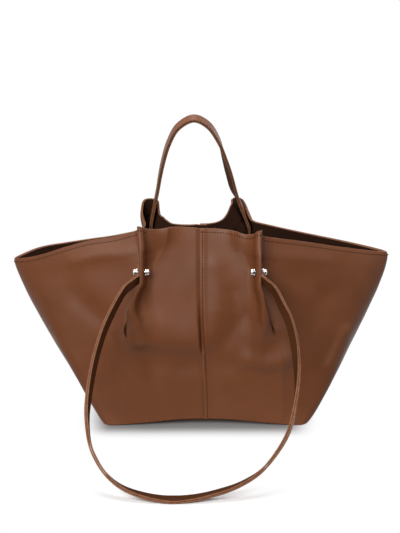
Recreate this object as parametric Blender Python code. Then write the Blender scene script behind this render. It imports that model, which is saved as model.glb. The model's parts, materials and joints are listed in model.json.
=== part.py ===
"""Winged leather tote bag with pinched pleats, a carry handle and a long shoulder strap.

Metres, +Z up, the front of the bag faces -Y. The origin is on the underside of the base.
The hardest form is the mouth: each panel is one sheet that is pinched into a standing
pleat, held shut by a screw post and opening out again below it and at the top edge.
"""
import math

import bmesh
import bpy
from mathutils import Vector

# Base of the bag
BASE_HALF_WIDTH = 0.122
BASE_HALF_DEPTH = 0.0755
BASE_CORNER_RADIUS = 0.010
BASE_THICKNESS = 0.0018
BASE_SIDE_SWAY = 0.006
BASE_RIM = 0.020
BASE_EDGE_LIFT = 0.007
BASE_SMALLEST_RADIUS = 0.002
BASE_CORNER_SIDES = 6
BASE_LONG_PARTS = 8
BOARD_THICKNESS = 0.0020
BOARD_MARGIN = 0.0145

# Leather and running gaps
PANEL_THICKNESS = 0.0017
FACING_THICKNESS = 0.0008
LAP_WIDTH = 0.009
LAP_THICKNESS = 0.0014
LAP_ROOT = 0.0045
CLEARANCE = 0.0003
FOLD_GAP = 0.0004
HANDLE_PLAY = 0.0006
HANDLE_MOUTH_PLAY = 0.0021

# Body of the bag, common to front and back
STUD_HEIGHT = 0.190
NECK_ROOM = 0.0135
WING_REACH = 0.225
WING_CROWDING = 0.88
WING_BULGE = {"left": 0.0122, "right": 0.020}
WING_BULGE_POWER = 0.55
WING_BULGE_SHARES = (0.8, 1.05)
BELLY = 0.009
FACING_START = 0.905

# Pleats: shares of the panel height where they start and where they are shut
PLEAT_START = 0.33
PLEAT_SHUT_FROM = 0.72
PLEAT_ROOT_RADIUS = 0.004
FLARE = {"left": 0.0155, "right": 0.018}
FLARE_FROM = 0.735
FLARE_TO = {"left": 0.572, "right": 0.512}

# Straps
STRAP_WIDTH = 0.0115
STRAP_LAYER = 0.0018
STRAP_TAB = 0.0055
TAB_END_SHARES = (1.0, 0.87, 0.5)
TAB_TIP_WIDTH = 0.17
STRAP_STEP = 0.0075
FLOOR_GAP = 0.0001
FLOOR_TILT = math.radians(6)
HANDLE_LEAN = math.radians(22.5)
# Middle line of each strap between its posts: across, in shares of the posts' half distance,
# and metres from the posts' axis (down the slope for the shoulder strap, up for the handle)
SHOULDER_LINE = (
    (-1.025, 0.0095), (-1.12, 0.0165), (-1.25, 0.0265), (-1.41, 0.052), (-1.54, 0.0785),
    (-1.63, 0.106),
    (-1.69, 0.1335), (-1.728, 0.166), (-1.728, 0.188), (-1.68, 0.213), (-1.59, 0.231),
    (-1.42, 0.2505), (-1.18, 0.2655), (-0.88, 0.2747), (-0.50, 0.280), (-0.15, 0.279),
    (0.22, 0.2732), (0.59, 0.2636), (0.925, 0.2477), (1.20, 0.2228), (1.37, 0.199),
    (1.46, 0.173), (1.515, 0.147), (1.525, 0.120), (1.50, 0.092), (1.44, 0.067),
    (1.345, 0.048), (1.23, 0.0265), (1.11, 0.0165), (1.025, 0.0095),
)
HANDLE_LINE = (
    (-1.0, 0.020), (-0.985, 0.033), (-0.935, 0.050), (-0.845, 0.079), (-0.785, 0.102),
    (-0.710, 0.125), (-0.606, 0.148), (-0.430, 0.170), (-0.125, 0.182), (0.170, 0.172),
    (0.376, 0.149), (0.486, 0.125), (0.580, 0.102), (0.675, 0.079), (0.830, 0.055),
    (0.955, 0.034), (0.995, 0.025), (1.0, 0.018),
)
# Turn of each strap about its own line, in degrees, against the way along it from the left post
SHOULDER_TWIST = (
    (0.0, 0), (0.03, 0), (0.06, 7), (0.12, 16), (0.24, 15), (0.31, 2), (0.36, 0), (0.50, 5),
    (0.64, 0), (0.70, -4), (0.76, 4), (0.81, 24), (0.85, 33), (0.89, 30), (0.94, 12), (0.97, 0),
    (1.0, 0),
)
HANDLE_TWIST = (
    (0.0, 0), (0.17, 0), (0.30, 5), (0.50, 6), (0.60, 0), (0.66, -20), (0.72, -33), (0.77, -32),
    (0.835, -2), (0.86, 0), (1.0, 0),
)

# Screw posts
BARREL_RADIUS = 0.0023
BORE_RADIUS = 0.0015
SHANK_RADIUS = 0.0012
HEAD_RADIUS = 0.0046
HEAD_NECK_RADIUS = 0.0037
HEAD_FLANGE = 0.0012
HEAD_HEIGHT = 0.0054
HEAD_ROUNDING = 0.0003
HEAD_SEAT = HEAD_RADIUS + 0.001
BORE_START = 0.0008
BORE_CONE = 0.0004
SHANK_END_GAP = 0.0010
CUTTER_OVERRUN = 0.004
STUD_SIDES = 14

# Each side of the bag. Its top edge is set out by its rise above the posts' axis: places 0 to 1
# run over the centre, 1 to 2 round the pleat and 2 to 3 along the wing. A depth is from the
# middle plane. fold_radius_shut is the pleat's outer radius where the post holds it.
FRONT = {
    "name": "front",
    "facing": -1,
    "edge": {
        "left": ((0, 0.046), (0.50, 0.0468), (0.97, 0.0463), (1.08, 0.0455), (1.18, 0.0442),
                 (1.30, 0.0455), (1.5, 0.053), (1.75, 0.049), (2, 0.042), (2.15, 0.035),
                 (2.4, 0.027), (2.57, 0.0185), (2.82, 0.005), (3, -0.0015)),
        "right": ((0, 0.046), (0.50, 0.0455), (0.90, 0.0443), (1.04, 0.0435), (1.12, 0.041),
                  (1.20, 0.040), (1.32, 0.0415), (1.5, 0.0475), (1.75, 0.045), (2, 0.036),
                  (2.32, 0.027), (2.63, 0.0175), (3, 0.007)),
    },
    "centre_depth": 0.045,
    "root_depth": 0.047,
    "centre_root_radius": 0.010,
    "pleat_x": 0.066,
    "pleat_depth": 0.024,
    "stud_setback": 0.0145,
    "fold_radius_shut": PANEL_THICKNESS + FOLD_GAP,
    "fold_radius_mouth": PANEL_THICKNESS + CLEARANCE + FACING_THICKNESS + FOLD_GAP,
    "mouth_shut": 0.84,
    "centre_mouth_shut": 0.58,
    "mouth_lean": {"left": math.radians(13), "right": math.radians(8.5)},
    "wing_handle": (0.130, 0.032),
    "wing_end_opening": {"left": 0.018, "right": 0.012},
}
BACK = {
    "name": "back",
    "facing": 1,
    "edge": {
        "left": ((0, 0.0345), (0.30, 0.0333), (0.72, 0.033), (0.91, 0.0364), (1.05, 0.0415),
                 (1.2, 0.048), (1.36, 0.0565), (1.5, 0.0575), (1.66, 0.0555), (1.82, 0.045),
                 (2, 0.0262), (2.18, 0.020), (2.42, 0.0158), (2.59, 0.0128), (2.83, 0.0075),
                 (3, -0.0015)),
        "right": ((0, 0.0345), (0.35, 0.0362), (0.56, 0.038), (0.73, 0.0415), (0.84, 0.0467),
                  (0.91, 0.0535), (0.99, 0.059), (1.12, 0.060), (1.5, 0.060), (1.57, 0.057),
                  (1.67, 0.045), (1.80, 0.037), (2, 0.0345), (2.1, 0.0315), (2.37, 0.024),
                  (2.68, 0.016), (3, 0.007)),
    },
    "centre_depth": 0.026,
    "root_depth": 0.042,
    "centre_root_radius": PLEAT_ROOT_RADIUS,
    "pleat_x": 0.062,
    "pleat_depth": 0.027,
    "stud_setback": 0.014,
    "fold_radius_shut": PANEL_THICKNESS + HANDLE_PLAY + STRAP_LAYER + CLEARANCE / 2,
    "fold_radius_mouth": (PANEL_THICKNESS + CLEARANCE + FACING_THICKNESS + HANDLE_MOUTH_PLAY
                          + STRAP_LAYER + CLEARANCE / 2),
    "mouth_shut": 0.82,
    "centre_mouth_shut": 0.82,
    "mouth_lean": {"left": math.radians(9), "right": math.radians(4)},
    "wing_handle": (0.135, 0.024),
    "wing_end_opening": {"left": 0.020, "right": 0.012},
}
FOLD_PLACE = 1.5
HAND_SIGN = {"left": -1, "right": 1}

# Where the panel grids have their columns and rows
CENTRE_COLUMNS = (0.30, 0.54, 0.74, 0.88)
PLEAT_COLUMNS = (0.055, 0.11, 0.18, 0.50, 0.66, 0.80, 0.90, 1.0)
WING_COLUMNS_TO_CORNER = (0.34, 0.67)
WING_COLUMNS_PAST_CORNER = (0.30, 0.65, 1.0)
PANEL_ROWS = (0.0, 0.16, 0.33, 0.46, 0.57, 0.66, PLEAT_SHUT_FROM, FLARE_FROM)
FACING_ROWS = (FACING_START, 0.95, 1.0)
COLUMN_SEARCH_STEPS = 30
LINE_PARTS = 12
SLOPE_STEP = 1e-4


def mix(low, high, share):
    return low + (high - low) * share


def ease(share):
    share = min(max(share, 0.0), 1.0)
    return share * share * (3 - 2 * share)


def bezier(points, share):
    while len(points) > 1:
        points = [[mix(a, b, share) for a, b in zip(p, q)] for p, q in zip(points, points[1:])]
    return points[0]


def smooth_value(points, where):
    """Value of a smooth curve through (place, value) points, level where the values turn."""
    spans = [b[0] - a[0] for a, b in zip(points, points[1:])]
    rises = [(b[1] - a[1]) / (b[0] - a[0]) for a, b in zip(points, points[1:])]
    slopes = [rises[0]]
    for span, next_span, rise, next_rise in zip(spans, spans[1:], rises, rises[1:]):
        slope = (span * next_rise + next_span * rise) / (span + next_span)
        slopes.append(slope if rise * next_rise > 0 else 0.0)
    slopes.append(rises[-1])
    index = 0
    while index < len(spans) - 1 and where >= points[index + 1][0]:
        index += 1
    s = min(max((where - points[index][0]) / spans[index], 0.0), 1.0)
    return ((1 + 2 * s) * (1 - s) ** 2 * points[index][1]
            + s * (1 - s) ** 2 * spans[index] * slopes[index]
            + s * s * (3 - 2 * s) * points[index + 1][1]
            + s * s * (s - 1) * spans[index] * slopes[index + 1])


def smooth_line(points, step):
    """Evenly spaced points on a smooth curve through the given ones."""
    points = [Vector(p) for p in points]
    padded = [2 * points[0] - points[1]] + points + [2 * points[-1] - points[-2]]
    dense = []
    for a, b, c, d in zip(padded, padded[1:], padded[2:], padded[3:]):
        for index in range(LINE_PARTS):
            s = index / LINE_PARTS
            dense.append(0.5 * (2 * b + (c - a) * s + (2 * a - 5 * b + 4 * c - d) * s * s
                                + (3 * b - a - 3 * c + d) * s ** 3))
    dense.append(points[-1])
    travelled = [0.0]
    for a, b in zip(dense, dense[1:]):
        travelled.append(travelled[-1] + (b - a).length)
    count = max(2, round(travelled[-1] / step))
    line = []
    segment = 0
    for index in range(count + 1):
        target = travelled[-1] * index / count
        while segment < len(dense) - 2 and travelled[segment + 1] < target:
            segment += 1
        span = travelled[segment + 1] - travelled[segment]
        line.append(dense[segment].lerp(dense[segment + 1], (target - travelled[segment]) / span))
    return line


def strap_middle(points, end_x):
    """Smooth middle line from one screw post to the other, straight where the heads grip it."""
    ends = (-end_x, HEAD_SEAT), (end_x, HEAD_SEAT)
    through = [(share * end_x, distance) for share, distance in points]
    return [tuple(p) for p in smooth_line([ends[0]] + through + [ends[1]], STRAP_STEP)]


HANDLE_MIDDLE = strap_middle(HANDLE_LINE, BACK["pleat_x"])


# The shape of the walls


def pleat_half_length(side, root_radius):
    """Leather from the fold to the root of the pleat where it is held shut."""
    straight = side["pleat_depth"] - side["fold_radius_shut"] - root_radius
    return straight + (side["fold_radius_shut"] + root_radius) * math.pi / 2


def fold_rise(side):
    """Least rise of the fold, which sets how far up the pleats are held shut."""
    return min(smooth_value(edge, FOLD_PLACE) for edge in side["edge"].values())


SHUT_TO = {side["name"]: (STUD_HEIGHT + HEAD_RADIUS + NECK_ROOM) / (STUD_HEIGHT + fold_rise(side))
           for side in (FRONT, BACK)}


def shut_to(side):
    """Share of the panel's height up to which the pleat is held shut round the screw head."""
    return SHUT_TO[side["name"]]


def shut_share(side, s, t):
    """How far the pleat is closed at this share of the panel's height."""
    if t < PLEAT_SHUT_FROM:
        return ease((t - PLEAT_START) / (PLEAT_SHUT_FROM - PLEAT_START))
    at_mouth = mix(side["mouth_shut"], side["centre_mouth_shut"], max(-s, 0.0))
    return mix(1.0, at_mouth, ease(mouth_share(side, t)))


def mouth_share(side, t):
    """0 where the pleat is still held shut, 1 at the top edge."""
    return max(t - shut_to(side), 0.0) / (1 - shut_to(side))


def fold_radius(side, t):
    rise = ease((t - shut_to(side)) / (FACING_START - shut_to(side)))
    return mix(side["fold_radius_shut"], side["fold_radius_mouth"], rise)


def belly(t):
    return BELLY * 4 * t * (1 - t)


def sway(t):
    """The body leans sideways below the pleats, so the base stands off the middle."""
    return BASE_SIDE_SWAY * (1 - ease(t / PLEAT_SHUT_FROM))


def root_depth(side, t):
    return mix(BASE_HALF_DEPTH, side["root_depth"], t) + belly(t)


def flare(side, hand, s, t):
    """Sideways lean of a front pleat below the post."""
    if side["name"] == "back":
        return 0.0
    opening = min(max((FLARE_FROM - t) / (FLARE_FROM - FLARE_TO[hand]), 0.0), 1.0)
    return FLARE[hand] * opening * shut_share(side, s, t) * (1 - s * s)


def edge_rise(side, hand, u):
    return smooth_value(side["edge"][hand], u)


def pleat_x(side, hand, s, t):
    """Middle plane of the pleat; the back pleats go along with the legs of the handle."""
    if side["name"] == "front":
        return side["pleat_x"]
    height = t * (STUD_HEIGHT + edge_rise(side, hand, (s + 3) / 2))
    return handle_leg_x(hand, (height - STUD_HEIGHT) / math.cos(HANDLE_LEAN))


def handle_leg_x(hand, up):
    """Distance of a handle leg from the middle, at this length up from the posts' axis."""
    line = HANDLE_MIDDLE if hand == "left" else HANDLE_MIDDLE[::-1]
    if up <= line[0][1]:
        return BACK["pleat_x"]
    for (x, low), (next_x, high) in zip(line, line[1:]):
        if up <= high:
            return abs(mix(x, next_x, (up - low) / (high - low)))
    return abs(line[-1][0])


def pleat_plan(side, hand, s, t):
    """Plan point on the pleat, from its root by the centre (s = -1) over the fold to the wing."""
    root_radius = side["centre_root_radius"] if s < 0 else PLEAT_ROOT_RADIUS
    half = pleat_half_length(side, root_radius)
    radius = fold_radius(side, t)
    depth = side["pleat_depth"]
    travel = abs(s) * half
    straight = depth - radius - root_radius
    tip = radius * math.pi / 2
    if travel < tip:
        across = radius * math.sin(travel / radius)
        out = depth - radius + radius * math.cos(travel / radius)
    elif travel < tip + straight:
        across = radius
        out = depth - radius - (travel - tip)
    else:
        turn = min((travel - tip - straight) / (half - tip - straight), 1.0) * math.pi / 2
        across = radius + root_radius * (1 - math.cos(turn))
        out = root_radius * (1 - math.sin(turn))
    shut = shut_share(side, s, t)
    across = mix(travel, across, shut) * (1 if s >= 0 else -1) + flare(side, hand, s, t)
    out *= shut
    lean = side["mouth_lean"][hand] * ease(mouth_share(side, t))
    return (pleat_x(side, hand, s, t) + across * math.cos(lean) + out * math.sin(lean),
            root_depth(side, t) - across * math.sin(lean) + out * math.cos(lean))


def centre_plan(side, hand, share, t):
    """Plan point between the centre seam and the pleat; share is 0 at the seam."""
    x, y = pleat_plan(side, hand, -1, t)
    seam_depth = mix(BASE_HALF_DEPTH, side["centre_depth"], t) + belly(t)
    return x * share, mix(seam_depth, y, share * share)


def base_wing_length(side):
    start = side["pleat_x"] + pleat_half_length(side, PLEAT_ROOT_RADIUS)
    front_run = BASE_HALF_WIDTH - BASE_CORNER_RADIUS - start
    corner = BASE_CORNER_RADIUS * math.pi / 2
    side_run = BASE_HALF_DEPTH - BASE_CORNER_RADIUS - CLEARANCE / 2
    return start, front_run, corner, side_run


def base_share(w):
    """Share of the way round the base; the wing's columns crowd towards the pleat there."""
    return mix(w, w ** 4, WING_CROWDING)


def base_wing_plan(side, w):
    start, front_run, corner, side_run = base_wing_length(side)
    travel = base_share(w) * (front_run + corner + side_run)
    if travel < front_run:
        return start + travel, BASE_HALF_DEPTH
    if travel < front_run + corner:
        turn = (travel - front_run) / BASE_CORNER_RADIUS
        return (BASE_HALF_WIDTH - BASE_CORNER_RADIUS * (1 - math.sin(turn)),
                BASE_HALF_DEPTH - BASE_CORNER_RADIUS * (1 - math.cos(turn)))
    left = front_run + corner + side_run - travel
    return BASE_HALF_WIDTH, CLEARANCE / 2 + left


def wing_plan(side, hand, w, t):
    """Plan point between the pleat and the side seam; w is 1 at the seam."""
    base = base_wing_plan(side, w)
    root = pleat_plan(side, hand, 1, 1)
    handle = side["wing_handle"]
    tip = (WING_REACH, CLEARANCE / 2)
    mouth = bezier((root, handle, (WING_REACH, side["wing_end_opening"][hand]), tip), w)
    x, y = [mix(a, b, t) for a, b in zip(base, mouth)]
    fade = (1 - w) ** 2
    ruled_root = [mix(a, b, t) for a, b in zip(base_wing_plan(side, 0), root)]
    true_root = pleat_plan(side, hand, 1, t)
    bow = max(4 * t * (1 - t), 0.0) ** WING_BULGE_POWER * mix(*WING_BULGE_SHARES, t)
    return (x + (true_root[0] - ruled_root[0]) * fade + WING_BULGE[hand] * bow * ease(w),
            y + (true_root[1] - ruled_root[1]) * fade)


def plan(side, hand, u, t):
    """Plan point of the outer face: u runs 0 to 1 centre, 1 to 2 pleat, 2 to 3 wing."""
    if u <= 1:
        return centre_plan(side, hand, u, t)
    if u <= 2:
        return pleat_plan(side, hand, 2 * u - 3, t)
    return wing_plan(side, hand, u - 2, t)


def top_height(side, hand, u):
    """Height of the top edge; along the wing it goes by the distance from the pleat."""
    if u > 2:
        root_x = plan(side, hand, 2, 1)[0]
        u = 2 + (plan(side, hand, u, 1)[0] - root_x) / (WING_REACH - root_x)
    return STUD_HEIGHT + edge_rise(side, hand, u)


def rim_lift(x, depth):
    """The long edges of the base are rolled up a little in the middle."""
    across = math.cos(min(abs(x) / BASE_HALF_WIDTH, 1.0) * math.pi / 2) ** 2
    return BASE_EDGE_LIFT * across * ease((depth - BASE_HALF_DEPTH + BASE_RIM) / BASE_RIM)


def wall_point(side, hand, u, t, inset):
    """Point of the wall, inset from the outer face, at column u and height share t."""
    ahead = plan(side, hand, min(u + SLOPE_STEP, 3.0), t)
    behind = plan(side, hand, u - SLOPE_STEP, t)
    run = Vector((ahead[0] - behind[0], ahead[1] - behind[1])).normalized()
    x, y = plan(side, hand, u, t)
    x += run.y * inset
    y -= run.x * inset
    foot_x, foot_y = plan(side, hand, u, 0)
    bottom = BASE_THICKNESS + CLEARANCE + rim_lift(foot_x, foot_y)
    height = mix(bottom, top_height(side, hand, u), t)
    return (HAND_SIGN[hand] * x + sway(t), side["facing"] * y, height)


# Solids


def make_material(name, colour, roughness, metallic=0.0):
    material = bpy.data.materials.new(name)
    material.use_nodes = True
    shader = material.node_tree.nodes["Principled BSDF"]
    shader.inputs["Base Color"].default_value = (*colour, 1.0)
    shader.inputs["Roughness"].default_value = roughness
    shader.inputs["Metallic"].default_value = metallic
    return material


def finish_mesh(name, work, material, pivot=None):
    """Turn a bmesh into an object, on a pivot empty if it moves."""
    bmesh.ops.recalc_face_normals(work, faces=work.faces)
    if pivot is not None:
        bmesh.ops.translate(work, verts=work.verts, vec=-pivot.location)
    mesh = bpy.data.meshes.new(name)
    work.to_mesh(mesh)
    work.free()
    mesh.shade_smooth()
    mesh.set_sharp_from_angle(angle=math.radians(40))
    mesh.materials.append(material)
    body = bpy.data.objects.new(name, mesh)
    body.parent = pivot
    bpy.context.collection.objects.link(body)
    return body


def sheet_solid(name, outside, inside, material, pivot=None):
    """Closed sheet between two grids of points that have the same rows and columns."""
    work = bmesh.new()
    outer, inner = [[[work.verts.new(p) for p in row] for row in grid] for grid in (outside, inside)]
    rows = len(outer) - 1
    columns = len(outer[0]) - 1
    for r in range(rows):
        for c in range(columns):
            work.faces.new((outer[r][c], outer[r][c + 1], outer[r + 1][c + 1], outer[r + 1][c]))
            work.faces.new((inner[r][c], inner[r + 1][c], inner[r + 1][c + 1], inner[r][c + 1]))
    rim = [(0, c) for c in range(columns)] + [(r, columns) for r in range(rows)]
    rim += [(rows, c) for c in range(columns, 0, -1)] + [(r, 0) for r in range(rows, 0, -1)]
    for (r, c), (next_r, next_c) in zip(rim, rim[1:] + rim[:1]):
        work.faces.new((outer[next_r][next_c], outer[r][c], inner[r][c], inner[next_r][next_c]))
    return finish_mesh(name, work, material, pivot)


def turned_solid(name, profile, start, direction, material):
    """Solid of revolution about an axis along X; profile points are (along, radius)."""
    work = bmesh.new()
    rings = []
    for along, radius in profile:
        x = start.x + direction * along
        if radius == 0:
            rings.append([work.verts.new((x, start.y, start.z))])
            continue
        ring = []
        for index in range(STUD_SIDES):
            turn = 2 * math.pi * index / STUD_SIDES
            ring.append(work.verts.new((x, start.y + radius * math.cos(turn),
                                        start.z + radius * math.sin(turn))))
        rings.append(ring)
    for ring, following in zip(rings, rings[1:]):
        for index in range(STUD_SIDES):
            after = (index + 1) % STUD_SIDES
            corners = [ring[index % len(ring)], ring[after % len(ring)],
                       following[after % len(following)], following[index % len(following)]]
            work.faces.new(list(dict.fromkeys(corners)))
    return finish_mesh(name, work, material)


def base_outline(margin):
    """Rounded rectangle inside the base's edge, as plan points."""
    radius = max(BASE_CORNER_RADIUS - margin, BASE_SMALLEST_RADIUS)
    reach_x = BASE_HALF_WIDTH - margin - radius
    reach_y = BASE_HALF_DEPTH - margin - radius
    outline = []
    for quarter, (sign_x, sign_y) in enumerate(((1, 1), (-1, 1), (-1, -1), (1, -1))):
        for index in range(BASE_CORNER_SIDES + 1):
            turn = (quarter + index / BASE_CORNER_SIDES) * math.pi / 2
            outline.append((sign_x * reach_x + radius * math.cos(turn),
                            sign_y * reach_y + radius * math.sin(turn)))
        if sign_x == sign_y:
            for index in range(1, BASE_LONG_PARTS):
                x = sign_x * mix(reach_x, -reach_x, index / BASE_LONG_PARTS)
                outline.append((x, sign_y * (reach_y + radius)))
    return outline


def plate_solid(name, rings, material):
    """Closed plate from rings of equal length, listed from the middle of one face to the other."""
    work = bmesh.new()
    loops = [[work.verts.new(p) for p in ring] for ring in rings]
    for loop, following in zip(loops, loops[1:]):
        for index in range(len(loop)):
            after = (index + 1) % len(loop)
            work.faces.new((loop[index], loop[after], following[after], following[index]))
    work.faces.new(loops[0])
    work.faces.new(loops[-1])
    return finish_mesh(name, work, material)


def build_base(leather, board):
    def ring(margin, height, lifted):
        points = []
        for x, y in base_outline(margin):
            rise = rim_lift(x, abs(y)) if lifted else 0.0
            points.append((x + BASE_SIDE_SWAY, y, height + rise))
        return points

    plate_solid("base_panel", [
        ring(BASE_RIM, 0.0, False), ring(BASE_RIM / 2, 0.0, True), ring(0.0, 0.0, True),
        ring(0.0, BASE_THICKNESS, True), ring(BASE_RIM / 2, BASE_THICKNESS, True),
        ring(BASE_RIM, BASE_THICKNESS, False)], leather)
    margin = PANEL_THICKNESS + BOARD_MARGIN
    rolled = rim_lift(0.0, BASE_HALF_DEPTH - BASE_RIM / 2) * (BASE_RIM - margin) / (BASE_RIM / 2)
    seat = BASE_THICKNESS + rolled + CLEARANCE
    plate_solid("base_board", [ring(margin, seat, False), ring(margin, seat + BOARD_THICKNESS, False)],
                board)


def at_seam(side, hand, x):
    """Column at a true distance from the centre seam, as a function of the height share."""
    return lambda t: x / pleat_plan(side, hand, -1, t)[0]


def at_share(u):
    return lambda t: u


def panel_columns(side, hand):
    """Columns of a panel half: (place, inset) on the outer face and on the inner face."""
    under = PANEL_THICKNESS + CLEARANCE
    lap = under + LAP_THICKNESS
    body = [((at_share(u), 0.0), (at_share(u), PANEL_THICKNESS)) for u in body_columns(side)]
    if hand == "right":
        seam = at_seam(side, hand, 0.0)
        return [((seam, 0.0), (seam, PANEL_THICKNESS))] + body
    lap_end = at_seam(side, hand, -LAP_WIDTH)
    step = at_seam(side, hand, CLEARANCE)
    step_in = at_seam(side, hand, 0.5 * LAP_ROOT)
    root = at_seam(side, hand, LAP_ROOT)
    return [((lap_end, under), (lap_end, lap)), ((step, under), (step, lap)),
            ((step, 0.0), (step_in, lap)), ((root, 0.0), (root, PANEL_THICKNESS))] + body


def body_columns(side):
    pleat = [-s for s in reversed(PLEAT_COLUMNS)] + [0.0] + list(PLEAT_COLUMNS)
    start, front_run, corner, side_run = base_wing_length(side)
    length = front_run + corner + side_run
    turn_start = wing_column(front_run / length)
    turn_end = wing_column((front_run + corner) / length)
    wing = [turn_start * share for share in WING_COLUMNS_TO_CORNER]
    wing += [turn_start, wing_column((front_run + corner / 2) / length), turn_end]
    wing += [mix(turn_end, 1.0, share) for share in WING_COLUMNS_PAST_CORNER]
    return list(CENTRE_COLUMNS) + [(s + 3) / 2 for s in pleat] + [2 + w for w in wing]


def wing_column(share):
    """Column of the wing whose foot is at this share of the way round the base."""
    low = 0.0
    high = 1.0
    for _ in range(COLUMN_SEARCH_STEPS):
        middle = (low + high) / 2
        if base_share(middle) < share:
            low = middle
        else:
            high = middle
    return middle


def wall_grid(side, hand, columns, rows):
    return [[wall_point(side, hand, place(t), t, inset) for place, inset in columns] for t in rows]


def build_panel(side, hand, leather, cutter):
    columns = panel_columns(side, hand)
    neck = shut_to(side)
    rows = PANEL_ROWS + (neck, (neck + FACING_START) / 2) + FACING_ROWS
    outside = wall_grid(side, hand, [outer for outer, _ in columns], rows)
    inside = wall_grid(side, hand, [inner for _, inner in columns], rows)
    panel = sheet_solid(f"{side['name']}_{hand}_panel", outside, inside, leather)
    cut_with(panel, cutter)


def build_facing(side, hand, lining):
    start = (LAP_WIDTH if hand == "right" else LAP_ROOT) + 2 * CLEARANCE
    places = [at_seam(side, hand, start)] + [at_share(u) for u in body_columns(side)]
    near = PANEL_THICKNESS + CLEARANCE
    far = near + FACING_THICKNESS
    outside = wall_grid(side, hand, [(place, near) for place in places], FACING_ROWS)
    inside = wall_grid(side, hand, [(place, far) for place in places], FACING_ROWS)
    sheet_solid(f"{side['name']}_{hand}_facing", outside, inside, lining)


def cut_with(body, cutter):
    hole = body.modifiers.new("post hole", "BOOLEAN")
    hole.operation = "DIFFERENCE"
    hole.object = cutter
    hole.solver = "EXACT"


# Screw posts and what they hold


def post_axis(side):
    """Height and depth of the axis that the two screw posts of a side share."""
    share = STUD_HEIGHT / (STUD_HEIGHT + fold_rise(side))
    depth = root_depth(side, share) + side["stud_setback"]
    return Vector((0.0, side["facing"] * depth, STUD_HEIGHT))


def grip_range(side):
    """Inner and outer X of what the post grips: the pleat, and in front the strap end."""
    inner = side["pleat_x"] - side["fold_radius_shut"] - CLEARANCE
    outer = side["pleat_x"] + side["fold_radius_shut"] + CLEARANCE
    if side["name"] == "front":
        outer += 2 * STRAP_LAYER + 2 * CLEARANCE
    return inner, outer


def strap_middle_x(side):
    """Middle plane of the strap end: on the wing side in front, inside the pleat at the back."""
    if side["name"] == "front":
        return grip_range(side)[1] - CLEARANCE - STRAP_LAYER - CLEARANCE / 2
    return side["pleat_x"]


def head_profile():
    """Domed, stepped head; it seats on the leather at 0 and stands out to -HEAD_HEIGHT."""
    dome = [(0.0, 0.0), (0.02, 0.51), (0.13, 0.84), (0.30, 1.0)]
    profile = [(HEAD_HEIGHT * (share - 1), HEAD_NECK_RADIUS * reach) for share, reach in dome]
    return profile + [(-HEAD_FLANGE - HEAD_ROUNDING, HEAD_NECK_RADIUS),
                      (-HEAD_FLANGE, HEAD_RADIUS - HEAD_ROUNDING),
                      (-HEAD_FLANGE + HEAD_ROUNDING, HEAD_RADIUS), (0.0, HEAD_RADIUS)]


def build_fastener(side, hand, chrome):
    sign = HAND_SIGN[hand]
    inner, outer = grip_range(side)
    axis = post_axis(side)
    length = outer - inner - CLEARANCE
    post_start = Vector((sign * inner, axis.y, axis.z))
    post = head_profile() + [(0.0, BARREL_RADIUS), (length, BARREL_RADIUS), (length, BORE_RADIUS),
                             (BORE_START, BORE_RADIUS), (BORE_START - BORE_CONE, 0.0)]
    turned_solid(f"{side['name']}_{hand}_post", post, post_start, sign, chrome)
    screw_start = Vector((sign * outer, axis.y, axis.z))
    shank = length - SHANK_END_GAP
    screw = head_profile() + [(0.0, SHANK_RADIUS), (shank - BORE_CONE, SHANK_RADIUS), (shank, 0.0)]
    turned_solid(f"{side['name']}_{hand}_screw", screw, screw_start, -sign, chrome)


def hole_cutter(side, hand):
    """Helper that cuts the post's hole through the pleat and the strap end."""
    inner, outer = grip_range(side)
    axis = post_axis(side)
    start = Vector((HAND_SIGN[hand] * (inner - CUTTER_OVERRUN), axis.y, axis.z))
    radius = BARREL_RADIUS + CLEARANCE
    length = outer - inner + 2 * CUTTER_OVERRUN
    profile = [(0.0, 0.0), (0.0, radius), (length, radius), (length, 0.0)]
    cutter = turned_solid(f"{side['name']}_{hand}_hole_cutter", profile, start, HAND_SIGN[hand], None)
    cutter.hide_render = True
    cutter.display_type = "WIRE"
    return cutter


def strap_sections(line, plane_down, twist, flat_turn):
    """Frames of a strap along its line: point, direction across the strap, and face normal.

    The strap is turned about its line by the twist, and where it runs level by flat_turn.
    """
    side_normal = Vector((0.0, plane_down.z, -plane_down.y))
    points = [Vector((x, 0, 0)) + plane_down * down for x, down in line]
    way = [0.0]
    for a, b in zip(points, points[1:]):
        way.append(way[-1] + (b - a).length)
    sections = []
    for index, point in enumerate(points):
        run = (points[min(index + 1, len(points) - 1)] - points[max(index - 1, 0)]).normalized()
        inward = side_normal.cross(run)
        turn = math.radians(smooth_value(twist, way[index] / way[-1]))
        if flat_turn is not None:
            turn = mix(turn, flat_turn, 1 - abs(run.dot(plane_down)))
        normal = inward * math.cos(turn) + run.cross(inward) * math.sin(turn)
        sections.append((point, normal.cross(run), normal))
    return sections


def strap_with_ends(line, end_x):
    """Full middle line: the rounded tab, the stretch behind the screw head, then the line."""
    tab = []
    for share in TAB_END_SHARES:
        width = max(math.sqrt(1 - share * share), TAB_TIP_WIDTH)
        tab.append((STRAP_TAB + STRAP_WIDTH / 2 * share, width))
    full = [((-end_x, -down), width) for down, width in tab]
    full += [((-end_x, -STRAP_TAB), 1.0), ((-end_x, 0.0), 1.0)]
    full += [((p[0], p[1]), 1.0) for p in line]
    full += [((end_x, 0.0), 1.0), ((end_x, -STRAP_TAB), 1.0)]
    full += [((end_x, -down), width) for down, width in reversed(tab)]
    return full


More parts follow.
